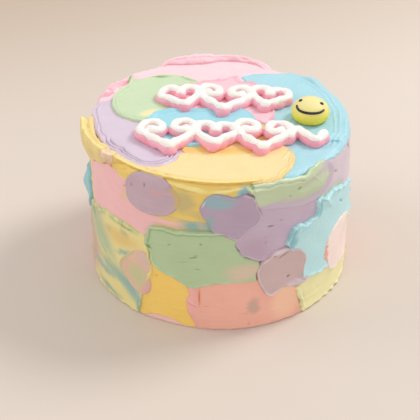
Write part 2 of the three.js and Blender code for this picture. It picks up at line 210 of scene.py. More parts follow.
# The dabs, in the order in which they are laid. Outlines on the side are degrees round from the front and
# heights, outlines on the top are millimetres. Bearings are degrees about a dab's middle. A soft stretch of
# edge is feathered out into its neighbour, whose colour is "into". Marks are ridges and dents: place,
# length, width, height and turn. Smears are streaks of another colour, some pale ones painted highlight on
# ridges and some deeper ones painted shade in dents and creases: place, half sizes, turn, colour and
# strength.

dabDefaults = {
    "thick": 0.9,
    "lip": 0.45,  # how far the knife left the edge standing up
    "ragged": 0.5,  # how uneven the outline is
    "stroke": 0,  # the way the knife went, in degrees
    "relief": 0.035,
    "soft": [],
    "feather": 8,
    "into": None,
    "ridges": [],  # bearings from and to, distances in from the edge, height
    "marks": [],
    "smears": [],
    "blend": 0.5,  # how softly the smears run out
    "pits": 0.5,
    "edge": 0.5,  # how far the lips and ridges take the edge colour, a painted highlight, paler by itself
    # a paler edge colour is painted highlight on lips and ridges, a deeper one painted shade along the edge
    "edgeLightShadeColour": None,
}

dabs = {
    "yellow_curtain": {
        "slot": "yellow", "colour": "#efd590", "stroke": 84, "relief": 0.3,
        "outline": [
            (-100, 100), (-80, 102), (-62, 100), (-60, 88), (-64, 72), (-68, 56), (-73, 54), (-77, 64),
            (-79, 74), (-92, 78), (-102, 86)],
    },
    "yellow_front": {
        "slot": "yellow", "colour": "#edcf72", "lip": 0.2,
        "outline": [
            (-53, 98), (-40, 101), (-20, 101), (0, 101), (11, 100.8), (12, 97), (10, 93), (5, 86), (-3, 74),
            (-14, 73), (-25, 75), (-38, 82), (-42, 89), (-46, 90), (-50, 92.5)],
        "marks": [
            ((-14, 96.4), 9, 0.6, 0.8, -6), ((-14.5, 95.2), 8, 0.5, -0.5, -6), ((2, 95.8), 7, 0.6, 0.8, 3),
            ((2, 97.2), 7, 0.5, -0.5, 4), ((-43, 96.5), 3, 0.7, -0.4, 20)],
        "smears": [
            # the pale #f8e69c streaks along the two ridges below the rim are painted highlight
            ((-15, 88), (7, 7), 10, "#bfb184", 0.75), ((-14, 96.6), (12, 0.8), -5, "#f8e69c", 0.8),
            ((3, 96.2), (10, 0.8), 3, "#f8e69c", 0.8), ((9.6, 94), (5, 3.4), 40, "#8fbcc4", 1.0),
            ((-8, 79), (6, 3), -20, "#c4b184", 0.5)],
    },
    "pink_left": {
        "slot": "pink", "colour": "#f3bfc0", "thick": 1.0, "lip": 0.25, "ragged": 0.4, "soft": [(-14, 26)],
        "feather": 7, "into": "#e8cb84",
        "outline": [
            (-52, 93.5), (-46, 92), (-41, 90), (-36, 84), (-26, 78), (-17, 77), (-9, 76), (-4, 75.5),
            (-2, 71), (-6, 68), (-25, 66), (-30, 61), (-34, 57), (-44, 58), (-56, 58), (-64, 54),
            (-69.5, 52.5), (-72, 60), (-74, 70), (-73, 80), (-68, 85), (-60, 90)],
        "marks": [((-42.5, 86), 2.2, 0.8, -0.6, 20)],
        "smears": [
            ((-9, 73), (11, 4.2), 0, "#b4b9a6", 0.85), ((-11, 72.5), (4, 2.2), 0, "#86b5b2", 0.8),
            ((-4, 74), (3, 4), 0, "#8fb6b2", 0.7), ((-43, 80), (4, 3), 60, "#e2c795", 0.6)],
    },
    "lilac_strip": {
        "slot": "lilac", "colour": "#c9a9b0", "thick": 0.8, "lip": 0.3,
        "outline": [(-66, 46), (-60, 40), (-54, 30), (-56, 22), (-66, 18), (-76, 22), (-80, 36), (-76, 46)],
    },
    "yellow_low": {
        "slot": "yellow", "colour": "#f9d272", "lip": 0.2, "ragged": 0.3,
        "outline": [
            (-30, 44), (-25, 41), (-19, 37), (-14, 33), (-8, 31), (-7, 15), (-8, 0.6), (-13, 0.6), (-18, 3),
            (-24, 4.2), (-30, 2.6), (-34, 0.6), (-35, 8), (-34, 20), (-31, 32)],
        "marks": [((-26.5, 33), 1.3, 0.9, -0.6, 20), ((-16, 12.5), 3, 0.5, 0.2, 8)],
    },
    "salmon": {
        "slot": "salmon", "colour": "#f2b7a4", "thick": 1.2, "lip": 0.35, "ragged": 0.35,
        "outline": [
            (-12.6, 30.5), (-8, 31.5), (-4, 33.5), (1, 35), (8, 36), (15, 36), (20, 32), (28, 28), (33, 25),
            (34.5, 16), (36, 8), (36.6, 2.5), (33, 0.5), (16, 0.2), (0, 0.2), (-8, 0.4), (-10.5, 5),
            (-12.8, 12), (-13.2, 19), (-12.4, 25)],
        "marks": [
            ((-8.7, 23.5), 7.5, 0.55, 1.5, 91), ((-7.9, 23.5), 7, 0.5, -0.8, 91),
            ((-10.8, 18.2), 3, 0.6, 1.1, -32), ((-10.6, 17), 3, 0.45, -0.8, -32),
            ((-9.4, 9), 6, 0.5, 0.6, 94), ((14, 30), 7, 0.5, 0.35, 92), ((11, 11), 2.2, 0.4, -0.5, -4),
            ((12.6, 3), 0.5, 1.0, -0.6, 0), ((-5, 17), 2.4, 0.4, -0.5, 6)],
        "smears": [
            ((-11, 22), (2.8, 12), 2, "#f6b7b2", 0.9), ((-9.8, 6), (1.6, 7), 6, "#eab0a6", 0.7),
            ((14.5, 16), (3.8, 5.6), 6, "#c9a899", 0.85), ((29, 16), (9, 15), 0, "#fccbad", 0.9)],
    },
    "lime": {
        "slot": "lime", "colour": "#f2ecb6", "thick": 1.6, "lip": 1.0, "ragged": 0.8,
        "ridges": [(165, 210, [1.8], 0.5)],
        "outline": [
            (33.3, 21), (35, 23), (38, 25.6), (42, 28), (52, 29), (62, 28), (71, 26), (76, 20), (77, 8),
            (70, 2.5), (56, 1), (44, 0.6), (38, 1), (37, 5), (35.6, 11), (34.2, 16)],
        "marks": [
            ((36.7, 12), 8, 1.0, 1.0, -75), ((38.4, 12), 8, 0.7, -0.4, -75),
            ((47, 11.5), 1.6, 0.7, -0.7, 30)],
        # the pale smear is painted highlight along the lip on the left edge
        "smears": [((36.2, 11), (1.6, 9), 8, "#dfe6bb", 0.9)],
    },
    "marbled": {
        "slot": "yellow", "colour": "#eadd9b", "thick": 1.5, "lip": 0.6, "ragged": 0.6, "stroke": -48,
        "blend": 0.75,
        "outline": [
            (-50, 61.3), (-43, 61.5), (-37, 60.7), (-33, 59), (-31, 56), (-30.3, 50), (-29.2, 43),
            (-28.6, 36), (-30, 26), (-32.5, 18), (-33.5, 11), (-34, 4), (-36, 0.8), (-50, 0.6), (-62, 2),
            (-72, 5), (-77, 10), (-78, 26), (-77, 42), (-74, 52), (-69, 54), (-62, 57.5), (-56, 60.5)],
        "marks": [
            ((-44, 60), 8, 0.7, 1.1, 0), ((-43, 58.2), 7, 0.6, -1.1, 5), ((-61, 56.2), 7, 0.7, 0.7, 22),
            ((-70, 48.6), 5, 0.6, 1.3, -58), ((-63.5, 40.2), 6, 0.6, 1.3, -47),
            ((-57.2, 32.6), 7, 0.6, 1.3, -35), ((-71, 48), 5, 0.55, -1.3, -58),
            ((-64.5, 39.1), 6, 0.55, -1.3, -47), ((-57.9, 31.2), 7, 0.55, -1.3, -35),
            ((-42.5, 39.2), 5, 0.5, -0.3, 22)],
        "smears": [
            ((-44, 59.4), (13, 2.2), 1, "#aac197", 0.9), ((-62, 54.8), (11, 2.6), 28, "#b7c69e", 0.8),
            # the three dark green streaks along the creases, at (-57.6, 31.8), (-67, 43.6) and (-43, 58.5),
            # are green cream with painted shade deepening them
            ((-57.6, 31.8), (11, 1.0), -35, "#6f9f7d", 0.9), ((-67, 43.6), (12, 1.1), -54, "#75a583", 0.9),
            ((-75, 40), (5, 9), 0, "#c3b3ae", 0.8), ((-43, 58.5), (4, 0.8), 5, "#7ba680", 0.8),
            ((-66, 44), (14, 12), -40, "#b7c09c", 0.8), ((-57, 38), (13, 6), -35, "#b3c4a2", 0.85),
            ((-70, 24), (14, 8), -40, "#cba8a4", 0.85), ((-73, 11), (8, 7), -40, "#c8a5a0", 0.8),
            ((-51, 21), (14, 3.6), -14, "#a3bda6", 0.9), ((-40, 16), (13, 4.6), -38, "#93b8b4", 0.95),
            ((-34.6, 6), (1.4, 7), 0, "#8fb2a2", 0.9), ((-58, 16), (12, 2.6), 0, "#98b9b2", 0.9),
            ((-55, 4.2), (13, 2), -8, "#9cb7a6", 0.9), ((-43.5, 39.5), (6, 1.9), 22, "#9dbbac", 0.9),
            ((-43, 53), (3.2, 2.2), 0, "#a8bd9c", 0.8), ((-53, 49.5), (3, 1.8), 0, "#a8bd9c", 0.7),
            ((-46, 48), (14, 5), 6, "#e3bf78", 0.7)],
    },
    "lilac_wide": {
        "slot": "lilac", "colour": "#c9b5c7", "lip": 0.5, "edge": 0.7, "edgeLightShadeColour": "#dccbd9",
        "blend": 0.8,
        "ridges": [(215, 275, [0.9], 0.3)],
        "outline": [
            (13, 92), (28, 92), (42, 90), (49, 84), (47, 74), (43, 67), (38, 62), (31, 54), (26, 50),
            (21, 48), (17, 47.5), (13, 49.5), (9.5, 53), (7, 58), (5.5, 64), (6, 74), (9, 86)],
        "marks": [
            ((21, 70.3), 2.2, 0.55, -0.9, -4), ((25.7, 73), 0.9, 0.6, -0.6, 0),
            ((19, 60), 0.8, 0.8, -0.5, 90), ((18.8, 63.5), 0.8, 0.5, -0.35, 0),
            ((15.7, 86), 1.4, 0.6, -0.6, -50)],
        "smears": [((14, 56), (10, 9), 0, "#bda2b5", 0.75)],
    },
    "green_middle": {
        "slot": "green", "colour": "#b7cba2", "thick": 1.6, "lip": 0.5, "ragged": 0.4, "edge": 0.8,
        "edgeLightShadeColour": "#bfdcb4", "blend": 0.8,
        "ridges": [(35, 262, [1.2], 0.8), (40, 176, [2.7], -0.45)],
        "outline": [
            (-31.5, 60), (-30.5, 64), (-28.3, 67.6), (-24, 68.6), (-14, 69.2), (-6, 70), (0, 70.3),
            (4, 69.3), (6.8, 66.6), (7.6, 64.2), (6.2, 62.5), (7, 58), (9.5, 53.5), (13, 50), (16.5, 47.5),
            (15.5, 40), (14.5, 35), (8, 35), (2, 34.6), (-4, 33), (-8, 31), (-10.5, 29.8), (-14, 31.2),
            (-20, 35.4), (-25, 39), (-29, 43), (-29.4, 49), (-31.8, 54.5)],
        "marks": [
            ((-10.5, 51.5), 3.0, 0.45, -0.8, 14), ((-9.6, 53), 1.6, 0.4, -0.6, 10),
            ((-15, 47.4), 4, 0.35, -0.45, 16), ((-8.6, 43.6), 2.2, 0.35, -0.6, 0),
            ((-7.5, 61.3), 0.8, 0.5, -0.9, 0), ((-20.5, 58), 1.1, 0.4, -0.7, 30),
            ((-29.8, 53), 2.2, 0.5, -1.0, -40), ((-29.6, 55.2), 2, 0.5, 0.7, 40),
            ((5.4, 68.2), 2.6, 0.7, 1.1, -50)],
        "smears": [((10.4, 42.4), (10, 5), 8, "#dfc3ae", 0.9)],
    },
    "lilac_flank": {
        "slot": "lilac", "colour": "#d9cad4", "thick": 1.2, "lip": 0.4, "ragged": 0.35,
        "soft": [(150, 265)], "feather": 9, "into": "#cdd2b6",
        "outline": [
            (46.4, 95), (47.4, 98.2), (51, 100.5), (60, 101), (72, 101), (84, 99), (88, 90), (84, 78),
            (76, 70), (66, 71), (58, 74), (50, 74), (45, 77), (45, 84), (47.2, 90)],
        "marks": [
            ((57.3, 87.7), 2.2, 0.8, -0.9, -40), ((64.5, 98.6), 3, 0.7, -0.7, 20),
            ((73, 93), 6, 0.9, -0.8, -42), ((54, 90.6), 3, 0.6, -0.25, 0)],
        "smears": [
            ((48.4, 95.5), (2.2, 4), 10, "#cfb0c4", 0.8), ((73.5, 93), (4.5, 1.0), -42, "#d79f9a", 0.8)],
    },
    "blue_flank": {
        "slot": "blue", "colour": "#bfe6ea", "thick": 2.1, "lip": 1.1, "ragged": 0.75, "stroke": 50,
        "relief": 0.07,
        "outline": [
            (43.3, 77), (46, 77.3), (48.5, 76), (53, 75.6), (57, 76.2), (61, 74.6), (68, 72), (75, 69),
            (79, 62), (79, 52), (76, 44), (66, 36), (58, 26), (50, 24), (41, 25), (37, 27), (36, 34),
            (34, 46), (31, 50.5), (28.6, 54), (28.2, 57), (29.2, 61.5), (30.6, 65.3), (33.5, 66.3),
            (37, 65.6), (40.5, 67.2), (43, 67.6), (43.6, 72)],
        "marks": [
            ((50, 72.6), 6, 1.0, 1.5, -46), ((45.8, 70), 5, 1.3, -0.9, 84), ((37, 64), 6.5, 1.0, 1.3, 14),
            ((33.4, 58), 6, 1.0, 1.3, 76), ((30.8, 57.5), 5, 1.2, -0.6, 76),
            ((62.5, 63.4), 2.4, 0.7, -1.1, -40), ((47, 75.8), 2.6, 0.8, 0.9, 0),
            ((36.8, 61.4), 5, 0.8, -0.4, 14), ((30.2, 61), 1.6, 0.4, 0.5, 10),
            ((30, 58.6), 1.6, 0.4, 0.5, 8), ((30.2, 56.2), 1.6, 0.4, 0.5, 6)],
        "smears": [
            # both smears are painted shade on the lips' left faces, turned away from the light
            ((30.8, 58.5), (3.2, 8), -8, "#8fbec8", 0.85), ((45.2, 71), (2.2, 6.4), -6, "#90c3cb", 0.85)],
    },
    "pink_flank": {
        "slot": "pink", "colour": "#fbe6df", "thick": 1.3, "lip": 0.5, "ragged": 0.25,
        "outline": [
            (53.5, 46.5), (57, 49.4), (61, 51.2), (67, 51), (73, 46), (75, 34), (73, 22), (68, 16.6),
            (60, 16.4), (55.5, 18), (53.4, 22.5), (51.4, 28), (50, 33), (50.6, 38.5), (52, 43)],
        "smears": [((51.2, 32), (1.9, 11.5), 3, "#f0a496", 0.95), ((70, 44), (4, 9), 0, "#f2e6c4", 0.7)],
    },
    "lilac_oval": {
        "slot": "lilac", "colour": "#c5acb6", "thick": 1.2, "lip": 0.35, "ragged": 0.1, "soft": [(-14, 30)],
        "feather": 6, "into": "#cfb478",
        "outline": [
            (-41.6, 87), (-41, 92.5), (-38, 97), (-33.4, 99.6), (-29, 100.4), (-25, 99.8), (-21, 97.4),
            (-17.5, 93), (-15.8, 87.5), (-18, 81.5), (-21, 77.6), (-25, 75.6), (-30, 74.6), (-35, 75),
            (-39, 77), (-41.2, 81)],
        "marks": [((-31.7, 93), 1.6, 0.55, -0.7, 85), ((-38, 90), 1.6, 0.5, -0.6, 80)],
        "smears": [((-24.5, 91.3), (6.5, 0.8), 5, "#d8a7a8", 0.75)],
    },
    "lilac_low": {
        "slot": "lilac", "colour": "#cfb5b3", "thick": 1.5, "lip": 0.6, "ragged": 0.3, "edge": 0.9,
        "edgeLightShadeColour": "#e4d6e0",
        "ridges": [(120, 262, [1.2], 0.5)],
        "outline": [
            (15.6, 43), (16.8, 47), (19.4, 49.4), (21.4, 51), (23, 53), (27, 54.2), (30, 52.6),
            (33.4, 50.4), (37, 46), (38.2, 41), (37.6, 34), (36.8, 29), (40, 26.6), (37, 23), (33.4, 22.6),
            (30.4, 24.6), (26, 24.8), (22.5, 22), (19.6, 23.6), (17.4, 28), (16, 34), (15.2, 39)],
        "marks": [
            ((29.5, 32.6), 1.3, 0.8, -0.9, 10), ((25, 51.4), 5, 1.1, 1.4, 10),
            ((35, 26.5), 5, 1.0, 1.2, -28), ((27, 48.6), 4.2, 0.5, -0.8, 24),
            ((23, 49.6), 1.0, 0.7, -0.8, 0)],
        "smears": [
            # both pale smears are painted highlight along the raised folds
            ((24.6, 52), (7, 1.7), 6, "#ddccd6", 0.9), ((34.5, 25.6), (7, 2.2), -14, "#dccbd4", 0.9)],
    },
    "pink_smear": {
        "slot": "pink", "colour": "#e4bda6", "thick": 0.9, "lip": 0.2, "ragged": 0.15, "blend": 0.75,
        "soft": [(100, 240)], "feather": 4, "into": "#cfc39a",
        "outline": [
            (-38.5, 44), (-35, 47), (-31.5, 46.8), (-29.8, 43), (-28.6, 38.5), (-29.4, 34.6), (-30.4, 32.6),
            (-29.8, 29.6), (-28.8, 25), (-29, 20.5), (-31, 17), (-33.8, 15.4), (-38.5, 18), (-43.4, 22.6),
            (-45.8, 28), (-45.2, 33), (-42, 39)],
        "smears": [
            ((-35.5, 28.6), (7, 7), 10, "#c8c99a", 0.95), ((-32.4, 42), (4.4, 6), 0, "#dabfb4", 0.85),
            ((-30.5, 22), (2.4, 5), -12, "#e3b0b0", 0.9)],
    },
    "blue_bulge": {
        "slot": "blue", "colour": "#9ccbd0", "thick": 1.9, "lip": 0.6, "ragged": 0.5,
        "outline": [
            (-79.5, 62), (-83, 65.6), (-89, 65.6), (-96, 62), (-99, 54), (-97, 45), (-91, 38.5),
            (-84.6, 38.5), (-79.4, 42), (-77.6, 50), (-78.4, 56)],
        "marks": [((-87, 54.5), 7, 7, 3.6, 0), ((-85, 63), 5, 1.2, 0.6, -20)],
    },
    "top_pink": {
        "slot": "pink", "colour": "#f7d4da", "lip": 0.5, "ragged": 0.3,
        "outline": [
            (-79, 10), (-76, 22), (-69, 38), (-55, 56), (-38, 69), (-18, 76.5), (0, 78.5), (22, 78.4),
            (41, 70.5), (53.5, 61.4), (56, 50), (30, 30), (0, 20), (-40, 6), (-66, 4)],
        "marks": [
            ((-68.8, 33.5), 9, 2.2, 3.2, 64), ((-74, 21), 5, 2.0, 1.6, 74), ((-58, 50.5), 9, 1.8, 0.9, 50),
            ((-71, 24.5), 4, 0.8, -1.0, 60), ((-60.5, 42), 5, 0.8, -1.0, 60),
            ((-65.5, 33.5), 5, 0.7, 0.7, 66)],
        "smears": [
            # the two #ee9fb0 smears lie in the dents of the creases at the rim and are painted shade
            ((-71, 24.5), (6, 1.3), 60, "#ee9fb0", 0.9), ((-60.5, 42), (7, 1.3), 60, "#ee9fb0", 0.9),
            ((-66, 35), (9, 1.6), 64, "#f3b3c0", 0.7)],
    },
    "top_lilac": {
        "slot": "lilac", "colour": "#d8c8d8", "lip": 0.4,
        "ridges": [
            (-150, -44, [2.4, 4.6, 6.8], 1.0), (-150, -44, [3.5, 5.7], -0.6), (110, 215, [2.0, 4.0], 0.7),
            (110, 215, [3.0], -0.4)],
        "outline": [
            (-77.5, 14), (-72, 16.5), (-64, 20), (-48, 14), (-30, -4), (-18, -30), (-20, -44), (-24, -52),
            (-29, -58), (-36, -61.8), (-44, -61), (-52, -55.5), (-61, -46), (-69, -34), (-75, -18),
            (-78.5, 0)],
    },
    "top_yellow_inner": {
        "slot": "yellow", "colour": "#f5d696", "lip": 0.3,
        "outline": [
            (14, 8), (28, 4), (36, -10), (38, -30), (34, -44), (10, -50), (-14, -50), (-22, -42),
            (-16, -24), (0, -6)],
        # the first smear, a deeper golden band along top_yellow's edge, is a painted shadow line
        "smears": [((0, -42), (30, 3), 0, "#efc76a", 0.7), ((25, -8), (2, 12), 28, "#f0bf66", 0.8)],
    },
    "top_blue": {
        "slot": "blue", "colour": "#acd8e3", "lip": 0.45, "stroke": 70, "ragged": 0.3,
        "ridges": [(-62, 82, [3.4, 6.4, 9.4], 0.6)],
        "outline": [
            (14.6, 50), (16.4, 53.4), (21, 56), (29, 57.4), (38, 58.6), (46, 59.8), (54, 61.2), (60, 55.8),
            (66.4, 48), (72, 38), (76.6, 25.6), (79.4, 12), (80, 0), (78.6, -15), (75, -27), (68.6, -40),
            (61.6, -48.5), (55, -54.5), (49, -60.5), (40.9, -68), (31.8, -72.9), (30, -66), (34, -56),
            (34, -40), (30, -24), (26, -8), (24, 12), (22, 34)],
        "marks": [
            ((60.5, 47), 8, 1.8, 2.4, 127), ((67.5, -29.5), 3.6, 0.7, -0.9, 8),
            ((46, -64.5), 5, 0.8, -0.8, 34), ((50, -61), 4, 0.8, 0.7, 36)],
        # both deeper blue smears lie along dents and are painted shade
        "smears": [((40, -67), (14, 1.3), 27, "#86cbdd", 0.8), ((67, -29.5), (4, 1.2), 8, "#84c8da", 0.7)],
    },
    "green_shoulder": {
        "slot": "green", "colour": "#c6d4b0", "thick": 1.5, "lip": 0.7, "ragged": 0.3, "soft": [(-168, 20)],
        "feather": 11, "into": "#cbbbca", "edge": 0.8, "edgeLightShadeColour": "#dfeacb",
        "ridges": [(42, 172, [1.0, 2.8], 0.8), (48, 170, [1.9], -0.4)],
        "outline": [
            (9.8, 97), (10.8, 98.4), (15, 98.8), (20, 98.8), (25, 98.9), (30, 98.4), (34, 97.7),
            (36.4, 97.6), (38.6, 98.5), (42, 99.3), (46, 99.8), (51, 98.6), (55, 93), (54, 86), (49, 80.5),
            (43, 78), (36, 78), (28, 80), (20, 82), (15, 84), (13.2, 88), (13.4, 92), (11.6, 94.6)],
        "marks": [
            ((12.4, 97.4), 1.6, 0.7, -1.5, -8), ((33.5, 91.2), 1.5, 0.8, -1.0, 10),
            ((29, 88), 1.0, 0.6, -0.6, -20), ((42, 93.5), 6, 0.5, 0.35, -42),
            ((13, 95.6), 2, 0.8, 0.7, -20)],
        # the pale smear is painted highlight along the raised top edge
        "smears": [((24, 97.7), (21, 1.5), -2, "#dbe7c6", 0.85)],
    },
    "lilac_tongue": {
        "slot": "lilac", "colour": "#b9a3b7", "thick": 1.3, "lip": 0.4, "ragged": 0.2, "edge": 0.85,
        "edgeLightShadeColour": "#e4d6e0",
        "ridges": [(-100, 62, [0.8], 0.4)],
        "outline": [
            (-8.3, 84), (-7.4, 88), (-6, 91.5), (-3.6, 94), (-0.5, 94.8), (2.4, 94), (5, 92.6), (7.4, 92.7),
            (9.2, 94.2), (11.2, 93.8), (13.2, 91.8), (14.6, 88), (15.4, 85), (16.6, 82), (17, 79),
            (16.4, 76), (14.6, 73), (12, 70.6), (9.6, 67.6), (8, 64.6), (5, 65), (1, 68), (-3, 70),
            (-5, 76), (-7, 80)],
        "smears": [
            ((-1.5, 89.5), (10, 4), -4, "#98b9c0", 0.95), ((-5, 75), (3.4, 6), -20, "#93b5b4", 0.85),
            ((5, 91), (5, 1.6), -16, "#a9b0be", 0.7)],
    },
    "top_green": {
        "slot": "green", "colour": "#cadcb8", "thick": 1.7, "lip": 0.4, "ragged": 0.2,
        "ridges": [(150, 295, [1.0, 3.4], 0.75)],
        "outline": [
            (-60.5, 37), (-59.4, 44), (-58.8, 50), (-57, 49.4), (-55.8, 44.6), (-50, 46.5), (-44, 50.5),
            (-35, 53), (-27, 51.8), (-20, 48), (-13, 42), (-10, 26), (-16, 8), (-28, -4), (-38, -9),
            (-46, -11), (-53, -9), (-60, -4.2), (-65.5, 4), (-67.8, 13), (-66.6, 24)],
        "marks": [
            ((-57.4, 45), 5, 0.7, 1.8, 84), ((-58.6, 44.6), 4.5, 0.5, -1.0, 84),
            ((-39, 49.5), 4, 1.2, -0.8, 0), ((-22, 46), 5, 1.0, -0.5, -35)],
        "smears": [
            # the darker green smears at (-39, 49.5) and (-20, 46) are painted shade in the creases there
            ((-43, 0), (6.4, 3.6), 25, "#f4e8b2", 0.9), ((-39, 49.5), (6, 1.4), 0, "#9fc283", 0.8),
            ((-20, 46), (6, 1.2), -32, "#a9cb94", 0.7)],
    },
    "top_pink_inner": {
        "slot": "pink", "colour": "#f3c7d1", "thick": 1.3, "lip": 0.9, "ragged": 0.4, "edge": 0.9,
        "edgeLightShadeColour": "#f2a7b7",
        "ridges": [(30, 150, [2.6], 0.8)],
        "outline": [
            (-14, 42), (-6, 46), (2, 48), (7, 51.5), (12, 51), (14, 45.4), (20, 43.5), (26, 40), (29, 32),
            (32, 18), (34, 4), (30, -10), (20, -8), (4, 2), (-16, 4), (-30, 10), (-36, 18), (-28, 34)],
        "smears": [((15, 33), (4, 7), 0, "#dfe2ea", 0.8)],
    },
    "top_yellow": {
        "slot": "yellow", "colour": "#f7dba3", "thick": 1.3, "lip": 0.5, "edge": 0.7,
        # its deeper golden edge colour is painted shade under the lip rolled over the rim
        "edgeLightShadeColour": "#f0c869", "ragged": 0.3,
        "ridges": [(-42, 24, [2.2], 0.7)],
        "outline": [
            (-22, -46), (-8, -48), (10, -47), (26, -43), (36, -37), (41, -43), (42.4, -51), (41, -58),
            (37.6, -64.5), (32.8, -70.4), (24.3, -74.2), (10, -75.2), (-8, -75.4), (-22, -72.6), (-36, -67),
            (-45, -61.4), (-42, -61.4), (-36, -61.6), (-29.5, -58), (-25, -53)],
        "marks": [
            ((38, -46), 6, 0.6, 0.7, 62), ((36, -50), 5, 0.5, 0.5, 40), ((39.6, -52), 5, 0.6, 0.7, 78),
            ((36.8, -46.6), 6, 0.5, -0.5, 62), ((38.6, -52.4), 5, 0.5, -0.5, 78)],
    },
    "top_blue_inner": {
        "slot": "blue", "colour": "#a2d9e6", "thick": 1.7, "lip": 0.45, "ragged": 0.2,
        "ridges": [(60, 200, [2.0, 3.8], 0.6)],
        "outline": [
            (-46, -13), (-43, -4), (-37, 3), (-24, 6), (0, 6), (13, 6.4), (19.6, 0), (21.6, -9),
            (19.6, -19), (13, -29), (0, -34), (-18, -38), (-34, -37), (-43, -30), (-46.6, -21)],
    },
}

# The back of the cake has two rows of broad dabs.

backDabs = {
    "rows": [
        {"height": 74, "half": 28, "first": 90, "step": 39,
         "colours": ["green", "pink", "yellow", "blue", "lilac"]},
        {"height": 26, "half": 25, "first": 92, "step": 40,
         "colours": ["salmon", "blue", "lilac", "lime", "pink"]},
    ],
    "halfWidth": 25,  # degrees
    "points": 14,
    "foot": 0.4,
    "colours": {"green": "#cad5b0", "pink": "#f2c8c8", "yellow": "#f1d592", "blue": "#b9dcdc",
                "lilac": "#d3bcc8", "salmon": "#efb7a2", "lime": "#e8deae"},
}


def backOutline(row, number):
    # a rounded square with a wandering edge
    points = []
    for i in range(backDabs["points"]):
        a = math.tau * i / backDabs["points"]
        square = (abs(math.cos(a)) ** 3 + abs(math.sin(a)) ** 3) ** (-1 / 3)
        wave = 1 + 0.08 * math.sin(2 * a + 1.7 * number) + 0.07 * math.sin(3 * a + 2.9 * number)
        across = backDabs["halfWidth"] * square * wave * math.cos(a)
        up = row["height"] + row["half"] * square * wave * math.sin(a)
        points.append((across, min(max(up, backDabs["foot"]), 100)))
    return points


def backMarks(row, middle, number):
    draw = np.random.default_rng(40 + number)
    return [((middle + draw.uniform(-16, 16), row["height"] + draw.uniform(-15, 15)), draw.uniform(1.5, 8),
             draw.uniform(0.5, 0.9), draw.choice([-0.6, 0.6]), draw.uniform(-40, 60)) for _ in range(5)]


behind = {}
for row in backDabs["rows"]:
    for i, colour in enumerate(row["colours"]):
        number = len(behind) + 1
        middle = row["first"] + i * row["step"]
        behind[number] = {
            "slot": colour, "colour": backDabs["colours"][colour],
            "thick": 1.0 if i % 2 == 0 else 1.5, "lip": 0.3 + 0.12 * (number % 4), "ragged": 0.8,
            "stroke": 18 * (number % 5) - 30, "relief": 0.02, "marks": backMarks(row, middle, number),
            "outline": [(middle + across, up) for across, up in backOutline(row, number)],
        }
# behind, every other dab goes on first
laying = {**{f"back_{number}": behind[number] for number in (*range(1, 10, 2), *range(2, 11, 2))}, **dabs}
dabs = [{**dabDefaults, "name": name, **dab} for name, dab in laying.items()]

for i, dab in enumerate(dabs):
    dab["seed"] = 100 + 10 * i
    dab["chart"] = "top" if dab["name"].startswith("top") else "side"
    loop = closedCurve(inChart(dab["chart"], dab["outline"]), 0.9)
    across = np.roll(loop, -1, axis=0) - np.roll(loop, 1, axis=0)
    across = np.stack([across[:, 1], -across[:, 0]], -1) / np.linalg.norm(across, axis=1)[:, None]
    wander = 0.5 * ripple(dab["seed"], 9, *loop.T) + 0.22 * ripple(dab["seed"] + 1, 3.2, *loop.T)
    if dab["chart"] == "side":  # down to the foot, where the edge runs straight
        wander = wander * smooth((loop[:, 1] - 0.6) / 4)
        loop[:, 1] = 0.25 + (loop[:, 1] - 0.25) * smooth((loop[:, 1] - 0.9) / 2.4)
    loop = loop + across * wander[:, None] * dab["ragged"]
    dab["loop"] = loop
    dab["middle"] = loop.mean(0)


def withinSector(bearing, start, end, feather=16):
    off = np.abs((bearing - (start + end) / 2 + 180) % 360 - 180)
    return smooth(((end - start) / 2 - off) / feather + 0.5)


def softness(dab, bearing):
    soft = np.zeros(len(bearing))
    for start, end in dab["soft"]:
        soft = np.maximum(soft, withinSector(bearing, start, end))
    return soft


def stroke(u, v, at, length, width, turn):
    # 1 along a short line, fading off it
    du, dv = u - at[0], v - at[1]
    c, s = math.cos(math.radians(turn)), math.sin(math.radians(turn))
    return np.exp(-(((du * c + dv * s) / length) ** 2) - ((dv * c - du * s) / width) ** 2)


knife = {
    "edgeRound": 0.75,  # how far in the edge's round reaches
    "edgeStands": 0.35,  # share of the thickness at the very edge
    "lipAt": 0.95,
    "lineWidth": 0.5,  # of the lip, the ridges and the painted shade line at the edge
    "follow": 0.6,  # how far a dab takes the broad shape of what lies under it
    "clear": 0.2,  # how far it stands off what lies under it at least
    "tuck": 0.3,  # how far it sinks where the next dab lies on it
    "broad": 4.5,  # blur of what lies under it, for the shape it takes
    "close": 0.8,  # the same, for what it stands clear of
}


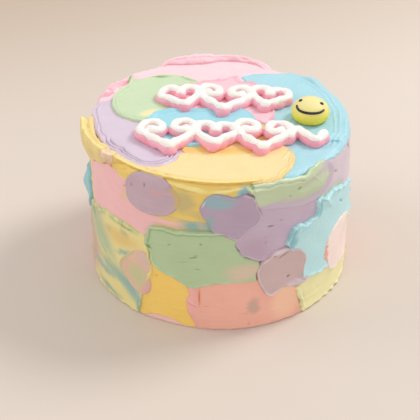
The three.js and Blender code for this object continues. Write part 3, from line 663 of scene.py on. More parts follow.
def creamLift(dab, u, v, depth, coat, tight, cover):
    # how far the dab stands off the skin, and the shares that colour it
    seed, lineWidth = dab["seed"], knife["lineWidth"]
    bearing = np.degrees(np.arctan2(v - dab["middle"][1], u - dab["middle"][0]))
    soft = softness(dab, bearing)
    hidden = smooth((cover - 0.5) / 2.5)
    rounded = np.sqrt(1 - (1 - np.clip(depth / knife["edgeRound"], 0, 1)) ** 2)
    firm = knife["edgeStands"] + (1 - knife["edgeStands"]) * rounded
    body = dab["thick"] * (firm * (1 - soft) + smooth(depth / dab["feather"]) * soft)
    lip = hump(depth, knife["lipAt"], lineWidth) * (1 - soft)
    lip = lip * np.clip(0.7 + 0.35 * ripple(seed + 2, 8, u, v), 0.1, 1.5)
    c, s = math.cos(math.radians(dab["stroke"])), math.sin(math.radians(dab["stroke"]))
    along, aside = u * c + v * s, v * c - u * s
    relief = dab["relief"] * ripple(seed + 3, 4.0, along * 0.12, aside) + 0.1 * ripple(seed + 4, 22, u, v)
    relief = relief * smooth(depth / 3)
    # the share that takes the edge colour on the lip and the raised ridges: painted highlight where that
    # colour is paler, painted shade where it is deeper
    drawn, dentShade = lip * min(dab["lip"] / 0.5, 1), 0 * lip
    # ridges and marks cut in fill the dent share, which paints them darker as painted shade
    for start, end, places, height in dab["ridges"]:
        for place in places:
            wobble = min(0.5, 0.3 * place) * ripple(seed + 5, 18, u, v)
            ridge = hump(depth, place + wobble, lineWidth) * withinSector(bearing, start, end)
            relief = relief + height * ridge
            if height > 0:
                drawn = np.maximum(drawn, ridge)
            else:
                dentShade = np.maximum(dentShade, -height * ridge)
    for at, length, width, height, turn in dab["marks"]:
        mark = stroke(u, v, inChart(dab["chart"], [at])[0], length, width, turn)
        relief = relief + height * mark
        dentShade = np.maximum(dentShade, -height * mark)
    lift = body + (dab["lip"] * lip + relief) * (1 - hidden) - knife["tuck"] * hidden + knife["follow"] * coat
    lift = np.maximum(lift, tight + knife["clear"] * smooth((depth + 0.3) / 1.2))
    shares = {"soft": soft}
    # the third share, a darker line round the very edge of the dab, is painted shade
    for name, share in {"lip": drawn, "dentShade": dentShade, "rim": hump(depth, 0, lineWidth) * (1 - soft)}.items():
        shares[name] = share * (1 - hidden)
    return lift, shares


def fieldDepth(dab):
    # how far inside the dab each cell of the field is
    u, v = toChart(dab["chart"], fieldAngle, fieldRun, dab["middle"][0])
    low, high = dab["loop"].min(0) - 4, dab["loop"].max(0) + 4
    near = (u > low[0]) & (u < high[0]) & (v > low[1]) & (v < high[1])
    depth = np.full(fieldU.shape, farOutside)
    depth[near] = nearestOn(dab["loop"], u[near], v[near])[0]
    return depth, u, v


spacing = 0.52  # between the points of a dab's mesh


def dabGrid(dab):
    # a grid cut to the outline, its border drawn onto the line, with a wall and a floor
    loop = dab["loop"]
    low, high = loop.min(0) - spacing, loop.max(0) + spacing
    span = high - low
    bm = bmesh.new()
    bmesh.ops.create_grid(bm, x_segments=int(span[0] / spacing), y_segments=int(span[1] / spacing), size=0.5)
    bmesh.ops.scale(bm, vec=(span[0], span[1], 1), verts=bm.verts)
    bmesh.ops.translate(bm, vec=((low[0] + high[0]) / 2, (low[1] + high[1]) / 2, 0), verts=bm.verts)
    middles = np.array([face.calc_center_median()[:2] for face in bm.faces])
    depth = nearestOn(loop, *middles.T)[0]
    outside = [face for face, inside in zip(bm.faces, depth) if inside < 0.05]
    bmesh.ops.delete(bm, geom=outside, context="FACES")
    border = [vert for vert in bm.verts if vert.is_boundary]
    nearBorder = set(border)
    for _ in range(3):
        nearBorder |= {edge.other_vert(vert) for vert in nearBorder for edge in vert.link_edges}
    nearBorder = sorted(nearBorder, key=lambda vert: vert.index)
    for _ in range(4):
        bmesh.ops.smooth_vert(bm, verts=nearBorder, factor=0.5, use_axis_x=True, use_axis_y=True)
        places = np.array([vert.co[:2] for vert in border])
        for vert, (u, v) in zip(border, nearestOn(loop, *places.T)[1]):
            vert.co = (u, v, 0)
    wall = bmesh.ops.extrude_edge_only(bm, edges=[edge for edge in bm.edges if edge.is_boundary])["geom"]
    foot = [part for part in wall if isinstance(part, bmesh.types.BMVert)]
    bmesh.ops.translate(bm, vec=(0, 0, -1), verts=foot)
    rim = [edge for edge in bm.edges if edge.is_boundary]
    bmesh.ops.triangle_fill(bm, edges=rim, use_beauty=True, use_dissolve=False)
    bmesh.ops.recalc_face_normals(bm, faces=bm.faces)
    return bm


def placed(name, data):
    thing = bpy.data.objects.new(name, data)
    bpy.context.scene.collection.objects.link(thing)
    return thing


def asMesh(thing):  # what its curve or its modifier makes
    mesh = bpy.data.meshes.new_from_object(thing.evaluated_get(bpy.context.evaluated_depsgraph_get()))
    bpy.data.objects.remove(thing)
    return mesh


def finishPiece(name, node, mesh, material):
    for polygon in mesh.polygons:
        polygon.use_smooth = True
    mesh.materials.append(material)
    piece = placed(name, mesh)
    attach(piece, "root")
    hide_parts(node)


def placesOf(bm):
    return np.array([vert.co for vert in bm.verts])


def spun(profile, steps):
    bm = bmesh.new()
    verts = [bm.verts.new(place) for place in profile]
    for first, second in zip(verts, verts[1:]):
        bm.edges.new((first, second))
    bmesh.ops.spin(bm, geom=bm.verts[:] + bm.edges[:], cent=(0, 0, 0), axis=(0, 0, 1), angle=math.tau,
                   steps=steps, use_merge=True)
    bmesh.ops.remove_doubles(bm, verts=bm.verts, dist=0.001)
    bmesh.ops.recalc_face_normals(bm, faces=bm.faces)
    return bm


def meshFrom(bm, name):
    mesh = bpy.data.meshes.new(name)
    bm.to_mesh(mesh)
    bm.free()
    return mesh


def setPlaces(mesh, places):
    mesh.vertices.foreach_set("co", np.asarray(places * mm, np.float32).ravel())
    mesh.update()


def setMap(mesh, u, v):
    corners = np.empty(len(mesh.loops), np.int32)
    mesh.loops.foreach_get("vertex_index", corners)
    uv = mesh.uv_layers.new(name="spread")
    uv.data.foreach_set("uv", np.stack([u[corners], v[corners]], -1).astype(np.float32).ravel())


def setShare(mesh, name, values):
    mesh.attributes.new(name, "FLOAT", "POINT").data.foreach_set("value", np.asarray(values, np.float32))


scatter = (0.0022, 0.0013, 0.0009)  # how far light goes into cream, in metres, red to blue

# Shader maths. A wire is one socket of one material's nodes.


class Wire:
    def __init__(self, recipe, socket):
        self.recipe, self.socket = recipe, socket

    def maths(self, operation, a, b=0.0):
        return self.recipe.node("ShaderNodeMath", {"operation": operation}, {0: a, 1: b})

    def __add__(self, other):
        return self.maths("ADD", self, other)

    __radd__ = __add__

    def __mul__(self, other):
        return self.maths("MULTIPLY", self, other)

    __rmul__ = __mul__

    def __sub__(self, other):
        return self.maths("SUBTRACT", self, other)

    def __rsub__(self, other):
        return self.maths("SUBTRACT", other, self)


class Recipe:
    def __init__(self, name):
        self.material = bpy.data.materials.new(name)
        self.material.use_nodes = True
        self.tree = self.material.node_tree
        self.tree.nodes.clear()

    def node(self, kind, settings, sockets, output=0):
        made = self.tree.nodes.new(kind)
        for key, value in settings.items():
            setattr(made, key, value)
        for key, value in sockets.items():
            if isinstance(value, Wire):
                self.tree.links.new(value.socket, made.inputs[key])
            else:
                made.inputs[key].default_value = value
        return Wire(self, made.outputs[output])

    def mix(self, share, first, second):
        return self.node("ShaderNodeMix", {"data_type": "RGBA"}, {0: share, 6: first, 7: second}, 2)

    def rise(self, value, low, high):
        return self.node("ShaderNodeMapRange", {"interpolation_type": "SMOOTHSTEP"},
                         {"Value": value, "From Min": low, "From Max": high})

    def noise(self, places, scale, detail=2.0, roughness=0.5, output=0):
        return self.node("ShaderNodeTexNoise", {"noise_dimensions": "3D"},
                         {"Vector": places, "Scale": scale, "Detail": detail, "Roughness": roughness}, output)

    def vector(self, operation, *values, output=0):
        return self.node("ShaderNodeVectorMath", {"operation": operation}, dict(enumerate(values)), output)

    def share(self, name):
        return self.node("ShaderNodeAttribute", {"attribute_name": name}, {}, 2)

    def places(self):
        return self.node("ShaderNodeTexCoord", {}, {}, 3)

    def turned(self, places, at, turn, size):
        return self.node("ShaderNodeMapping", {"vector_type": "TEXTURE"},
                         {"Vector": places, "Location": at, "Rotation": (0, 0, math.radians(turn)),
                          "Scale": size})

    def finish(self, colour, roughness, height, bump, gloss, translucence=0.0):
        normal = self.node("ShaderNodeBump", {}, {"Strength": bump, "Distance": mm, "Height": height})
        sockets = {"Base Color": colour, "Roughness": roughness, "Normal": normal}
        sockets["Specular IOR Level"] = gloss
        if translucence:
            sockets["Subsurface Weight"] = translucence
            sockets["Subsurface Radius"] = scatter
            sockets["Subsurface Scale"] = 1.0
        surface = self.node("ShaderNodeBsdfPrincipled", {}, sockets)
        end = self.tree.nodes.new("ShaderNodeOutputMaterial")
        self.tree.links.new(surface.socket, end.inputs["Surface"])
        return self.material


def tint(hexCode, gain=1.0):
    parts = [int(hexCode[i:i + 2], 16) / 255 for i in (1, 3, 5)]
    linear = [part / 12.92 if part <= 0.04045 else ((part + 0.055) / 1.055) ** 2.4 for part in parts]
    return (*(min(part * gain, 1) for part in linear), 1)


def deeper(colour, power):  # the same pigment, stronger; also the colour of painted shade at edges, in dents and in pits
    return (*(part ** power for part in colour[:3]), 1)


cream = {
    "roughness": 0.42,
    "sheen": 0.12,  # how far the roughness wanders
    "translucence": 0.12,
    "gloss": 0.4,
    "drift": 7,  # how far the smears' edges run with the knife
    "grain": 0.05,  # millimetres of fine relief
}


def butterCream(name, colour, spec):
    recipe = Recipe(name)
    uv = recipe.node("ShaderNodeUVMap", {"uv_map": "spread"}, {})
    own = tint(colour)
    streaky = recipe.turned(uv, (spec["seed"], 0, 0), spec["stroke"], (9, 0.9, 1))
    streaks = recipe.noise(streaky, 0.6, 3.0, 0.6)
    mottle = recipe.noise(uv, 0.07)
    base = recipe.mix(recipe.rise(mottle, 0.3, 0.75), tint(colour, 1.02), deeper(own, 1.04))
    base = recipe.mix(recipe.rise(streaks, 0.5, 0.85) * 0.3, base, tint(colour, 1.05))
    # on the lips over the rim the fade carries painted shade, in creases and down the outer face
    if spec["into"]:
        fade = recipe.rise(recipe.share("fade") + (streaks - 0.5) * 0.4, 0.1, 0.9)
        base = recipe.mix(fade, base, tint(spec["into"]))
    if spec["smears"]:
        drift = recipe.vector("SUBTRACT", recipe.noise(streaky, 0.35, 3.0, 0.6, 1), (0.5, 0.5, 0.5))
        drifting = recipe.vector("MULTIPLY_ADD", drift, (cream["drift"], cream["drift"], 0), uv)
    for at, size, turn, smearColour, strength in spec["smears"]:
        at = inChart(spec["chart"], [at])[0]
        local = recipe.turned(drifting, (at[0], at[1], 0), turn, (size[0], size[1], 1))
        away = recipe.vector("LENGTH", local, output=1)
        share = recipe.rise(away, 1 + spec["blend"], 1 - spec["blend"])
        base = recipe.mix(share * strength, base, tint(smearColour))
    # painted highlight on the lips and ridges, a paler copy of the colour; a deeper edge colour is painted
    # shade
    edge = tint(spec["edgeLightShadeColour"]) if spec["edgeLightShadeColour"] else tint(colour, 1.2)
    base = recipe.mix(recipe.rise(recipe.share("lip"), 0.35, 1.0) * spec["edge"], base, edge)
    # painted shade: the rim share deepens a thin line round the edge
    base = recipe.mix(recipe.share("rim") * 0.25, base, deeper(own, 1.6))
    grain = recipe.noise(uv, 1.4, 2.0, 0.6)
    # air holes, dented by the bump and coloured darker inside as painted shade
    bubbles = recipe.node("ShaderNodeTexVoronoi", {"feature": "F1"},
                          {"Vector": uv, "Scale": 0.16, "Randomness": 1.0})
    few = recipe.rise(recipe.noise(uv, 0.05, 1.0), 0.5, 0.6)
    pit = recipe.rise(bubbles, 0.075, 0.03) * few * spec["pits"]
    base = recipe.mix(pit * 0.5, base, deeper(own, 1.9))
    # painted shade in the dents and in the ridges cut in
    base = recipe.mix(recipe.rise(recipe.share("dentShade"), 0.1, 0.7) * 0.75, base, deeper(own, 2.4))
    height = grain * cream["grain"] + streaks * (0.02 + 0.4 * spec["relief"]) - pit * 0.5
    roughness = cream["roughness"] + (streaks - 0.5) * cream["sheen"] * 2
    return recipe.finish(base, roughness, height, bump=0.6, gloss=cream["gloss"],
                         translucence=cream["translucence"])


# Laying the dabs on, each over what lies there already.

fields = [fieldDepth(dab) for dab in dabs]
covers = [None] * len(dabs)
reach = np.full(fieldU.shape, farOutside)
for i in reversed(range(len(dabs))):
    covers[i] = reach
    reach = np.maximum(reach, fields[i][0])
laid = np.zeros(fieldU.shape)
triangles = 0
for dab, cover, (depth, u, v) in zip(dabs, covers, fields):
    coat, tight = blurred(laid, knife["broad"]), blurred(laid, knife["close"])
    bm = dabGrid(dab)
    flat = placesOf(bm)
    mesh = meshFrom(bm, "cream_" + dab["name"])
    inside = nearestOn(dab["loop"], flat[:, 0], flat[:, 1])[0]
    angle, run = toSkin(dab["chart"], flat[:, 0], flat[:, 1])
    below = sampled(tight, angle, run)
    lift, shares = creamLift(dab, flat[:, 0], flat[:, 1], np.maximum(inside, 0), sampled(coat, angle, run),
                             below, np.clip(sampled(cover, angle, run), -4, 9))
    foot = flat[:, 2] < -0.5
    setPlaces(mesh, onSkin(angle, run, np.where(foot, np.minimum(below - 1.0, -0.6), lift)))
    setMap(mesh, flat[:, 0], flat[:, 1])
    for name in ("lip", "dentShade", "rim"):
        setShare(mesh, name, np.where(foot, 0, shares[name]))
    if dab["into"]:
        setShare(mesh, "fade", shares["soft"] * (1 - smooth(inside / dab["feather"])))
    material = butterCream(mesh.name, dab["colour"], dab)
    finishPiece(mesh.name, "dab_" + dab["name"], mesh, material)
    triangles += sum(len(polygon.vertices) - 2 for polygon in mesh.polygons)
    here = depth > 0
    fieldLift = creamLift(dab, u[here], v[here], depth[here], coat[here], tight[here], cover[here])[0]
    laid[here] = np.maximum(laid[here], fieldLift)
print("dabs laid:", len(dabs), "with", triangles, "triangles")


# The base coat: a spun profile with a slightly heavy foot.

baseCoat = {
    "colour": "#f3cbc4",
    "footBand": 0.9,  # how far the foot stands out in front
    "footHeight": 3.2,
    "footReach": 44,  # degrees to either side of the front
    "turns": 220,
}


def buildBaseCoat():
    runs = np.concatenate([np.linspace(0, roundAt, 30), np.linspace(roundAt, sideRun, 7)[1:],
                           np.linspace(sideRun, footRun, 60)[1:]])
    profile = [(0, y, z) for _, y, z in onSkin(0 * runs, runs, 0 * runs)]
    bm = spun([*profile, (0, 0, 0)], baseCoat["turns"])
    flat = placesOf(bm)
    mesh = meshFrom(bm, "baseCoat")
    out, up = np.hypot(flat[:, 0], flat[:, 1]), flat[:, 2]
    angle = np.arctan2(flat[:, 0], -flat[:, 1])
    roundRun = roundAt + skin["rimRound"] * np.arctan2(out - roundAt, up - skin["height"] + skin["rimRound"])
    topRun = np.where(out < roundAt, out, roundRun)
    run = np.where(up > sideTop, topRun, sideRun + (sideTop - up) / math.cos(lean))
    band = baseCoat["footBand"] * smooth(1 - up / baseCoat["footHeight"])
    band = band * smooth((baseCoat["footReach"] - np.abs(np.degrees(angle))) / 10)
    band = band * (1 + 0.2 * ripple(61, 26, flat[:, 0], flat[:, 1]))
    places = onSkin(angle, run, band + 0.1 * ripple(62, 9, *flat.T))
    places[:, 2] = np.where(up < 0.01, 0, np.maximum(places[:, 2], 0))
    places[out < 0.01] = flat[out < 0.01]
    setPlaces(mesh, places)
    setMap(mesh, angle * skin["radius"], up)
    spec = {**dabDefaults, "seed": 60, "chart": "side"}
    finishPiece("baseCoat", "cake", mesh, butterCream("baseCoat", baseCoat["colour"], spec))


buildBaseCoat()
print("base coat spun")


# The lips of buttercream pulled up over the rim. Each is a closed band with stations along it: degrees
# round, height of its outer foot, outer radius, rise above the top, inner radius. The profile gives the
# shape across, as shares of the width and of the rise.

crests = [
    # a lip's into colour is painted shade: the pink lip's in its creases, the yellow lip's down its outer
    # face
    {"node": "crest_yellow", "slot": "yellow", "colour": "#efd894", "into": "#e6bd5c",
     "grooves": 0.55, "folds": 0.12, "stroke": 88, "seed": 700, "openEnds": (2.2, 5),
     "profile": [(0, 0.55), (0.08, 0.95), (0.3, 1), (0.5, 0.97), (0.72, 1), (0.93, 0.9)],
     "valley": [(-87, 0.75), (-76, 0.6), (-66, 0.4), (-60, 0.1), (-52, 0)],
     "stations": [(-87, 84, 84.0, 1.2, 78.0), (-85, 79, 85.4, 3.4, 77.6), (-82, 77, 85.7, 3.0, 77.4),
                  (-79, 77, 85.5, 3.9, 77.4), (-76, 79, 85.9, 3.9, 77.7), (-72, 82, 85.4, 3.6, 78.2),
                  (-68, 85, 84.9, 3.5, 78.6), (-64, 87.5, 84.3, 3.4, 78.6), (-60, 90, 83.8, 3.6, 78.0),
                  (-56, 92.4, 83.6, 4.0, 77.2), (-52, 94.4, 83.4, 4.1, 76.8), (-50.4, 94.8, 83.0, 3.8, 76.6),
                  (-49.4, 96, 81.0, 3.0, 76.4), (-48.6, 97, 79.8, 2.5, 76.4), (-44, 97.6, 79.2, 2.3, 76.0),
                  (-38, 98.0, 78.7, 2.1, 75.2), (-30, 98.2, 78.2, 2.0, 74.2), (-20, 98.3, 77.8, 2.0, 73.4),
                  (-10, 98.3, 77.5, 2.1, 73.2), (0, 98.3, 77.6, 2.0, 73.2), (10, 98.5, 77.4, 2.0, 73.6),
                  (18, 98.7, 77.3, 1.8, 74.2), (24, 98.9, 77.0, 1.5, 75.0), (28, 99.1, 76.6, 1.1, 75.4)],
     "smears": [((-52.3, 100.2), (4.0, 4.4), 0, "#eccfb2", 1.0)], "tab": (-52.3, 100.2, 4.2, 4.6)},
    {"node": "crest_pink", "slot": "pink", "colour": "#f7ccd4", "into": "#ec92a6",
     "grooves": 0.05, "folds": 0.1, "stroke": 3, "seed": 720, "openEnds": (6, 6),
     "profile": [(0, 0.12), (0.1, 0.5), (0.3, 0.76), (0.5, 0.78), (0.74, 1), (0.93, 0.92)],
     "valley": [(180, 0)],
     "stations": [(150, 96.5, 78.4, 1.4, 71.6), (156, 96, 79.0, 2.0, 73.0), (160, 96, 79.4, 2.6, 75.4),
                  (165, 96, 80.0, 3.2, 77.0), (170, 96, 80.4, 4.0, 76.6), (175, 96, 80.5, 4.2, 76.2),
                  (180, 96, 80.4, 3.9, 75.2), (183, 96, 80.5, 4.1, 74.0), (186, 96, 80.8, 4.9, 72.6),
                  (190, 96, 80.9, 5.2, 71.4), (195, 96, 80.9, 5.0, 72.2), (200, 96, 80.7, 4.8, 73.4),
                  (204, 96, 80.4, 4.4, 75.4), (207, 96, 79.8, 3.4, 77.0), (210, 96.5, 79.2, 2.3, 77.0),
                  (214, 97, 78.6, 1.6, 76.6)],
     "smears": [], "tab": None},
]
pulled = {
    "step": 0.55,  # between the rows of a lip's mesh
    "around": 48,  # points in a row
    "foot": 1.1,  # height of the inner foot above the top, under the dabs' own surface
    "wallFrom": 79.5,  # where a lip reaches out past this radius it is a wall, and rougher
}


def skinOut(height):
    # the radius of the bare skin at a height
    turn = np.arccos(np.clip((height - skin["height"] + skin["rimRound"]) / skin["rimRound"], 0, 1))
    return np.where(height < sideTop, skin["radius"] - skin["leanIn"] * height,
                    roundAt + skin["rimRound"] * np.sin(turn))


def buildCrest(spec):
    stations = np.array(spec["stations"], float)
    first, last = stations[0, 0], stations[-1, 0]
    count, around = int(math.radians(last - first) * skin["radius"] / pulled["step"]), pulled["around"]
    bm = bmesh.new()
    bmesh.ops.create_grid(bm, x_segments=around, y_segments=count, size=0.5)
    flat = placesOf(bm)
    column = np.round((flat[:, 0] + 0.5) * around).astype(int) % around
    station = np.round((flat[:, 1] + 0.5) * count).astype(int)
    degrees = np.linspace(first, last, count + 1)
    low, outer, rise, inner = (np.interp(degrees, stations[:, 0], values) for values in stations[:, 1:].T)
    arc, seed = np.radians(degrees) * skin["radius"], spec["seed"]
    ends = smooth((degrees - first) / spec["openEnds"][0]) * smooth((last - degrees) / spec["openEnds"][1])
    ground = skin["height"] - settled(degrees)
    valley = np.interp(degrees, *np.array(spec["valley"]).T)
    rough = 0.25 + 0.75 * smooth((outer - pulled["wallFrom"]) / 2)
    top = ground + rise + (0.2 * ripple(seed, 9, arc) + 0.1 * ripple(seed + 1, 4, arc)) * ends * rough
    foot = ground + pulled["foot"]
    low = low + 0.4 * ripple(seed + 4, 13, arc) * ends
    inner = inner + 0.1 * ripple(seed + 5, 14, arc)
    groove = -spec["grooves"] * np.abs(ripple(seed + 2, 3.4, arc)) * ends * smooth((outer - 78) / 4)
    width, tall = outer - inner, top - low
    hem = skinOut(low) + np.interp(degrees, (-52, -46, 28, 150), (1.2, -0.6, -0.6, 1.2))
    section = [(inner + 1.5, foot - 3), (inner - 0.3, foot - 0.4)]
    for across, up in spec["profile"]:
        wander = 1 + (0.22 * ripple(seed + 7, 17, arc) if 0.2 < up < 0.9 else 0)
        wander = wander * (1 - valley * hump(across, 0.5, 0.2))
        section.append((inner + across * width + across * groove, foot + (top - foot) * up * wander))
    section += [(outer + groove, top - 0.28 * tall), (0.25 * hem + 0.75 * outer + groove, top - 0.6 * tall),
                (0.7 * hem + 0.3 * outer + 0.5 * groove, top - 0.88 * tall), (hem, low),
                (hem - 2.2, low + 0.6)]
    section = np.moveaxis(np.array(section), 1, 2)
    heart = np.stack([0.5 * (inner + outer) - 1.0, 0.6 * low + 0.4 * top], -1)
    section = heart + (section - heart) * (0.1 + 0.9 * ends[:, None])
    curve = throughPoints(section, np.arange(around) / around * len(section))
    reach, z = curve[column, station].T
    turn, along = np.radians(degrees[station]), arc[station]
    fold = spec["folds"] * ripple(seed + 6, 2.2, along * 0.07, z, reach) * ends[station]
    reach, z = reach + fold, z + 0.5 * fold
    fromTab = np.full(len(z), 9.0)
    if spec["tab"]:  # a rounded end of a stroke, standing off the face
        middle, high, half, tallness = spec["tab"]
        fromTab = np.hypot((degrees[station] - middle) * degreeWidth / half, (z - high) / tallness)
    reach = reach + 0.6 * smooth((1.1 - fromTab) / 0.2)
    onTop = len(spec["profile"])
    across = column / around * len(section)
    # painted shade: the pink lip's creases and the yellow lip's outer face take the deeper into colour
    creaseShade = 0.8 * hump(across, 1.9, 0.4) + 0.6 * hump(across, 5.1, 0.3)
    outerFaceShade = 0.8 * smooth(across - onTop - 0.7) * smooth((degrees[station] + 50) / 4)
    # the lip share paints the top edge a paler colour, painted highlight; the third share rings the tab's
    # edge darker, painted shade
    shares = {"lip": hump(across, onTop, 0.7), "fade": creaseShade if spec["slot"] == "pink" else outerFaceShade,
              "dentShade": 0.6 * hump(fromTab, 1.12, 0.1), "along": along}
    layers = {name: bm.verts.layers.float.new(name) for name in shares}
    for i, vert in enumerate(bm.verts):
        vert.co = (reach[i] * math.sin(turn[i]), -reach[i] * math.cos(turn[i]), z[i])
        for name, layer in layers.items():
            vert[layer] = shares[name][i]
    bmesh.ops.remove_doubles(bm, verts=bm.verts, dist=0.0005)
    bmesh.ops.holes_fill(bm, edges=[edge for edge in bm.edges if edge.is_boundary], sides=0)
    bmesh.ops.recalc_face_normals(bm, faces=bm.faces)
    places = placesOf(bm)
    along = np.array([vert[layers["along"]] for vert in bm.verts])
    mesh = meshFrom(bm, spec["node"].replace("crest_", "pulledLip_"))
    setPlaces(mesh, places)
    setMap(mesh, np.degrees(along / skin["radius"]) * degreeWidth,
           places[:, 2] + np.maximum(pulled["wallFrom"] - np.hypot(*places[:, :2].T), 0))
    finish = {**dabDefaults, **{key: spec[key] for key in ("stroke", "seed", "smears", "into")},
              "chart": "side", "blend": 0.15}
    finishPiece(mesh.name, spec["node"], mesh, butterCream(mesh.name, spec["colour"], finish))


for crest in crests:
    buildCrest(crest)
print("lips pulled up over the rim")


# The piping: garlands of hearts, a white rope on a wider pink one.

piping = {
    "ropes": {
        "pink": {"radius": 3.3, "height": 102.0, "shift": (0, 0), "flatten": 0.92, "seed": 800,
                 "colours": ("#f8b3c1", "#f49db0")},
        "white": {"radius": 2.65, "height": 104.2, "shift": (0.3, 0.6), "flatten": 0.94, "seed": 850,
                  "colours": ("#fbf8f2", "#f4efe8")},
    },
    "blob": 1.2,  # the rounded ends, against the rope
    "blobReach": 3.2,
    "melt": 0.42,  # size of the cells that join the strokes
}
dip, rolled = 5, 8  # how many steps a lobe of a heart is drawn round


def turnedTo(points, at, degrees):
    turn = Matrix.Rotation(math.radians(degrees), 2)
    return [tuple(Vector(at) + turn @ Vector(point)) for point in points]


def pipedHeart(at, size, tilt, turns=dip):
    # two strokes, each from the point up round its lobe, ending in the dip or rolled up inside
    lobe, shrink = size / 4, 0.08 if turns > dip else 0
    strokes = []
    for side in (-1, 1):
        points = [(0, -0.62 * size)]
        for i in range(turns + 1):
            a = math.radians(-38 + 43.6 * i)
            r = lobe * (1 - shrink * i)
            points.append((side * (lobe + r * math.cos(a)), r * math.sin(a)))
        strokes.append(turnedTo(points, at, tilt))
    return strokes


def pipedTail(start, end, height):
    start, end = Vector(start), Vector(end)
    along = end - start
    across = Vector((-along.y, along.x)).normalized() * height
    shares = [i / 8 for i in range(9)]
    return [[tuple(start + along * s + across * math.sin(math.tau * s) * (1 - 0.4 * s)) for s in shares]]


garlands = {
    "upper": (pipedHeart((-25, 20), 25, 12) + pipedHeart((3, 21), 34, -4, rolled)
              + pipedHeart((31, 20), 24, -14)),
    "lower": (pipedHeart((-31, -24), 34, 5, rolled) + pipedHeart((-3, -26), 25, -6)
              + pipedHeart((25, -24), 34, -5, rolled) + pipedTail((40, -32), (60, -30), 8)),
}


def tubeCurve(name, radius, resolution):
    curve = bpy.data.curves.new(name, "CURVE")
    curve.dimensions = "3D"
    curve.bevel_depth = radius
    curve.bevel_resolution = resolution
    curve.use_fill_caps = True
    return curve


def addLine(curve, places, widths):
    spline = curve.splines.new("POLY")
    spline.points.add(len(places) - 1)
    for point, (x, y, z), width in zip(spline.points, places, widths):
        point.co = (x * mm, y * mm, z * mm, 1)
        point.radius = width


def buildRope(colour, row, strokes, material, seed):
    rope, name = piping["ropes"][colour], f"{colour}Piping_{row}"
    height = rope["height"]
    curve = tubeCurve(name, mm, 5)
    blobs = bmesh.new()
    for number, points in enumerate(strokes):
        path, gone = openCurve(points, 1.0)
        path = path + np.array(rope["shift"])
        swell = 1 + 0.05 * ripple(seed + number, 8, gone)
        ends = hump(gone, 0, piping["blobReach"]) + hump(gone, gone[-1], piping["blobReach"])
        widths = rope["radius"] * swell * (1 + (piping["blob"] - 1) * ends)
        heights = height + 0.3 * ripple(seed + 20 + number, 16, gone)
        places = np.column_stack([path, heights])
        addLine(curve, places, widths)
        for end in (0, -1):
            made = bmesh.ops.create_uvsphere(blobs, u_segments=16, v_segments=10, radius=widths[end] * mm)
            bmesh.ops.translate(blobs, vec=tuple(places[end] * mm), verts=made["verts"])
    blobs.from_mesh(asMesh(placed(name, curve)))
    joined = placed(name, meshFrom(blobs, name))
    remesh = joined.modifiers.new("melt", "REMESH")
    remesh.mode = "VOXEL"
    remesh.voxel_size = piping["melt"] * mm
    bm = bmesh.new()
    bm.from_mesh(asMesh(joined))
    for _ in range(5):
        bmesh.ops.smooth_vert(bm, verts=bm.verts, factor=0.5, use_axis_x=True, use_axis_y=True,
                              use_axis_z=True)
    bmesh.ops.recalc_face_normals(bm, faces=bm.faces)
    places = placesOf(bm) / mm
    mesh = meshFrom(bm, name)
    places[:, 2] = height + (places[:, 2] - height) * rope["flatten"] + 0.06 * ripple(seed + 50, 5, *places.T)
    setPlaces(mesh, places)
    finishPiece(name, f"piping_{colour}_{row}", mesh, material)


def pipedCream(name, colour, deep):
    recipe = Recipe(name)
    places = recipe.places()
    mottle = recipe.noise(places, 90.0, 3.0)
    grain = recipe.noise(places, 1300.0)
    base = recipe.mix(recipe.rise(mottle, 0.35, 0.75), tint(colour), tint(deep))
    height = grain * 0.04 + recipe.noise(places, 420.0) * 0.12
    return recipe.finish(base, 0.4 + (mottle - 0.5) * 0.2, height, bump=0.5, gloss=0.45, translucence=0.18)


ropeCreams = {colour: pipedCream(f"piped{colour.title()}", *rope["colours"])
              for colour, rope in piping["ropes"].items()}
for number, (row, strokes) in enumerate(garlands.items()):
    for colour, rope in piping["ropes"].items():
        buildRope(colour, row, strokes, ropeCreams[colour], rope["seed"] + 100 * number)
print("garlands piped")


# The fondant dome and its face.

domeLow, domeHigh = (Vector(corner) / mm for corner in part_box("dome"))
dome = {
    "at": ((domeLow.x + domeHigh.x) / 2, (domeLow.y + domeHigh.y) / 2),
    "base": domeLow.z - 0.4,
    "radius": 11.5,
    "foot": 9.7,
    "waist": 4.4,
    "height": domeHigh.z - domeLow.z - 0.2,
    "colour": "#f3e64a",
    "paintedTopLight": "#eee2a0",  # painted highlight, paler towards the top where the light falls
    "line": 0.7,
    "smile": (-161, -43, (9.6, 8.8), 8.25),  # degrees round the dome, heights of its ends and of its middle
    "smileSteps": 40,
    "eyes": [(-180, 11.4), (-27, 11.15)],
    "black": "#1c1720",
}


def onDome(degrees, height, out):
    rise = (height - dome["waist"]) / (dome["height"] - dome["waist"])
    a = math.radians(degrees)
    around = math.sqrt(max(1 - rise * rise, 0))
    normal = Vector((around / dome["radius"], rise / (dome["height"] - dome["waist"]))).normalized()
    r = dome["radius"] * around + out * normal.x
    return Vector((dome["at"][0] + r * math.cos(a), dome["at"][1] + r * math.sin(a),
                   dome["base"] + height + out * normal.y))


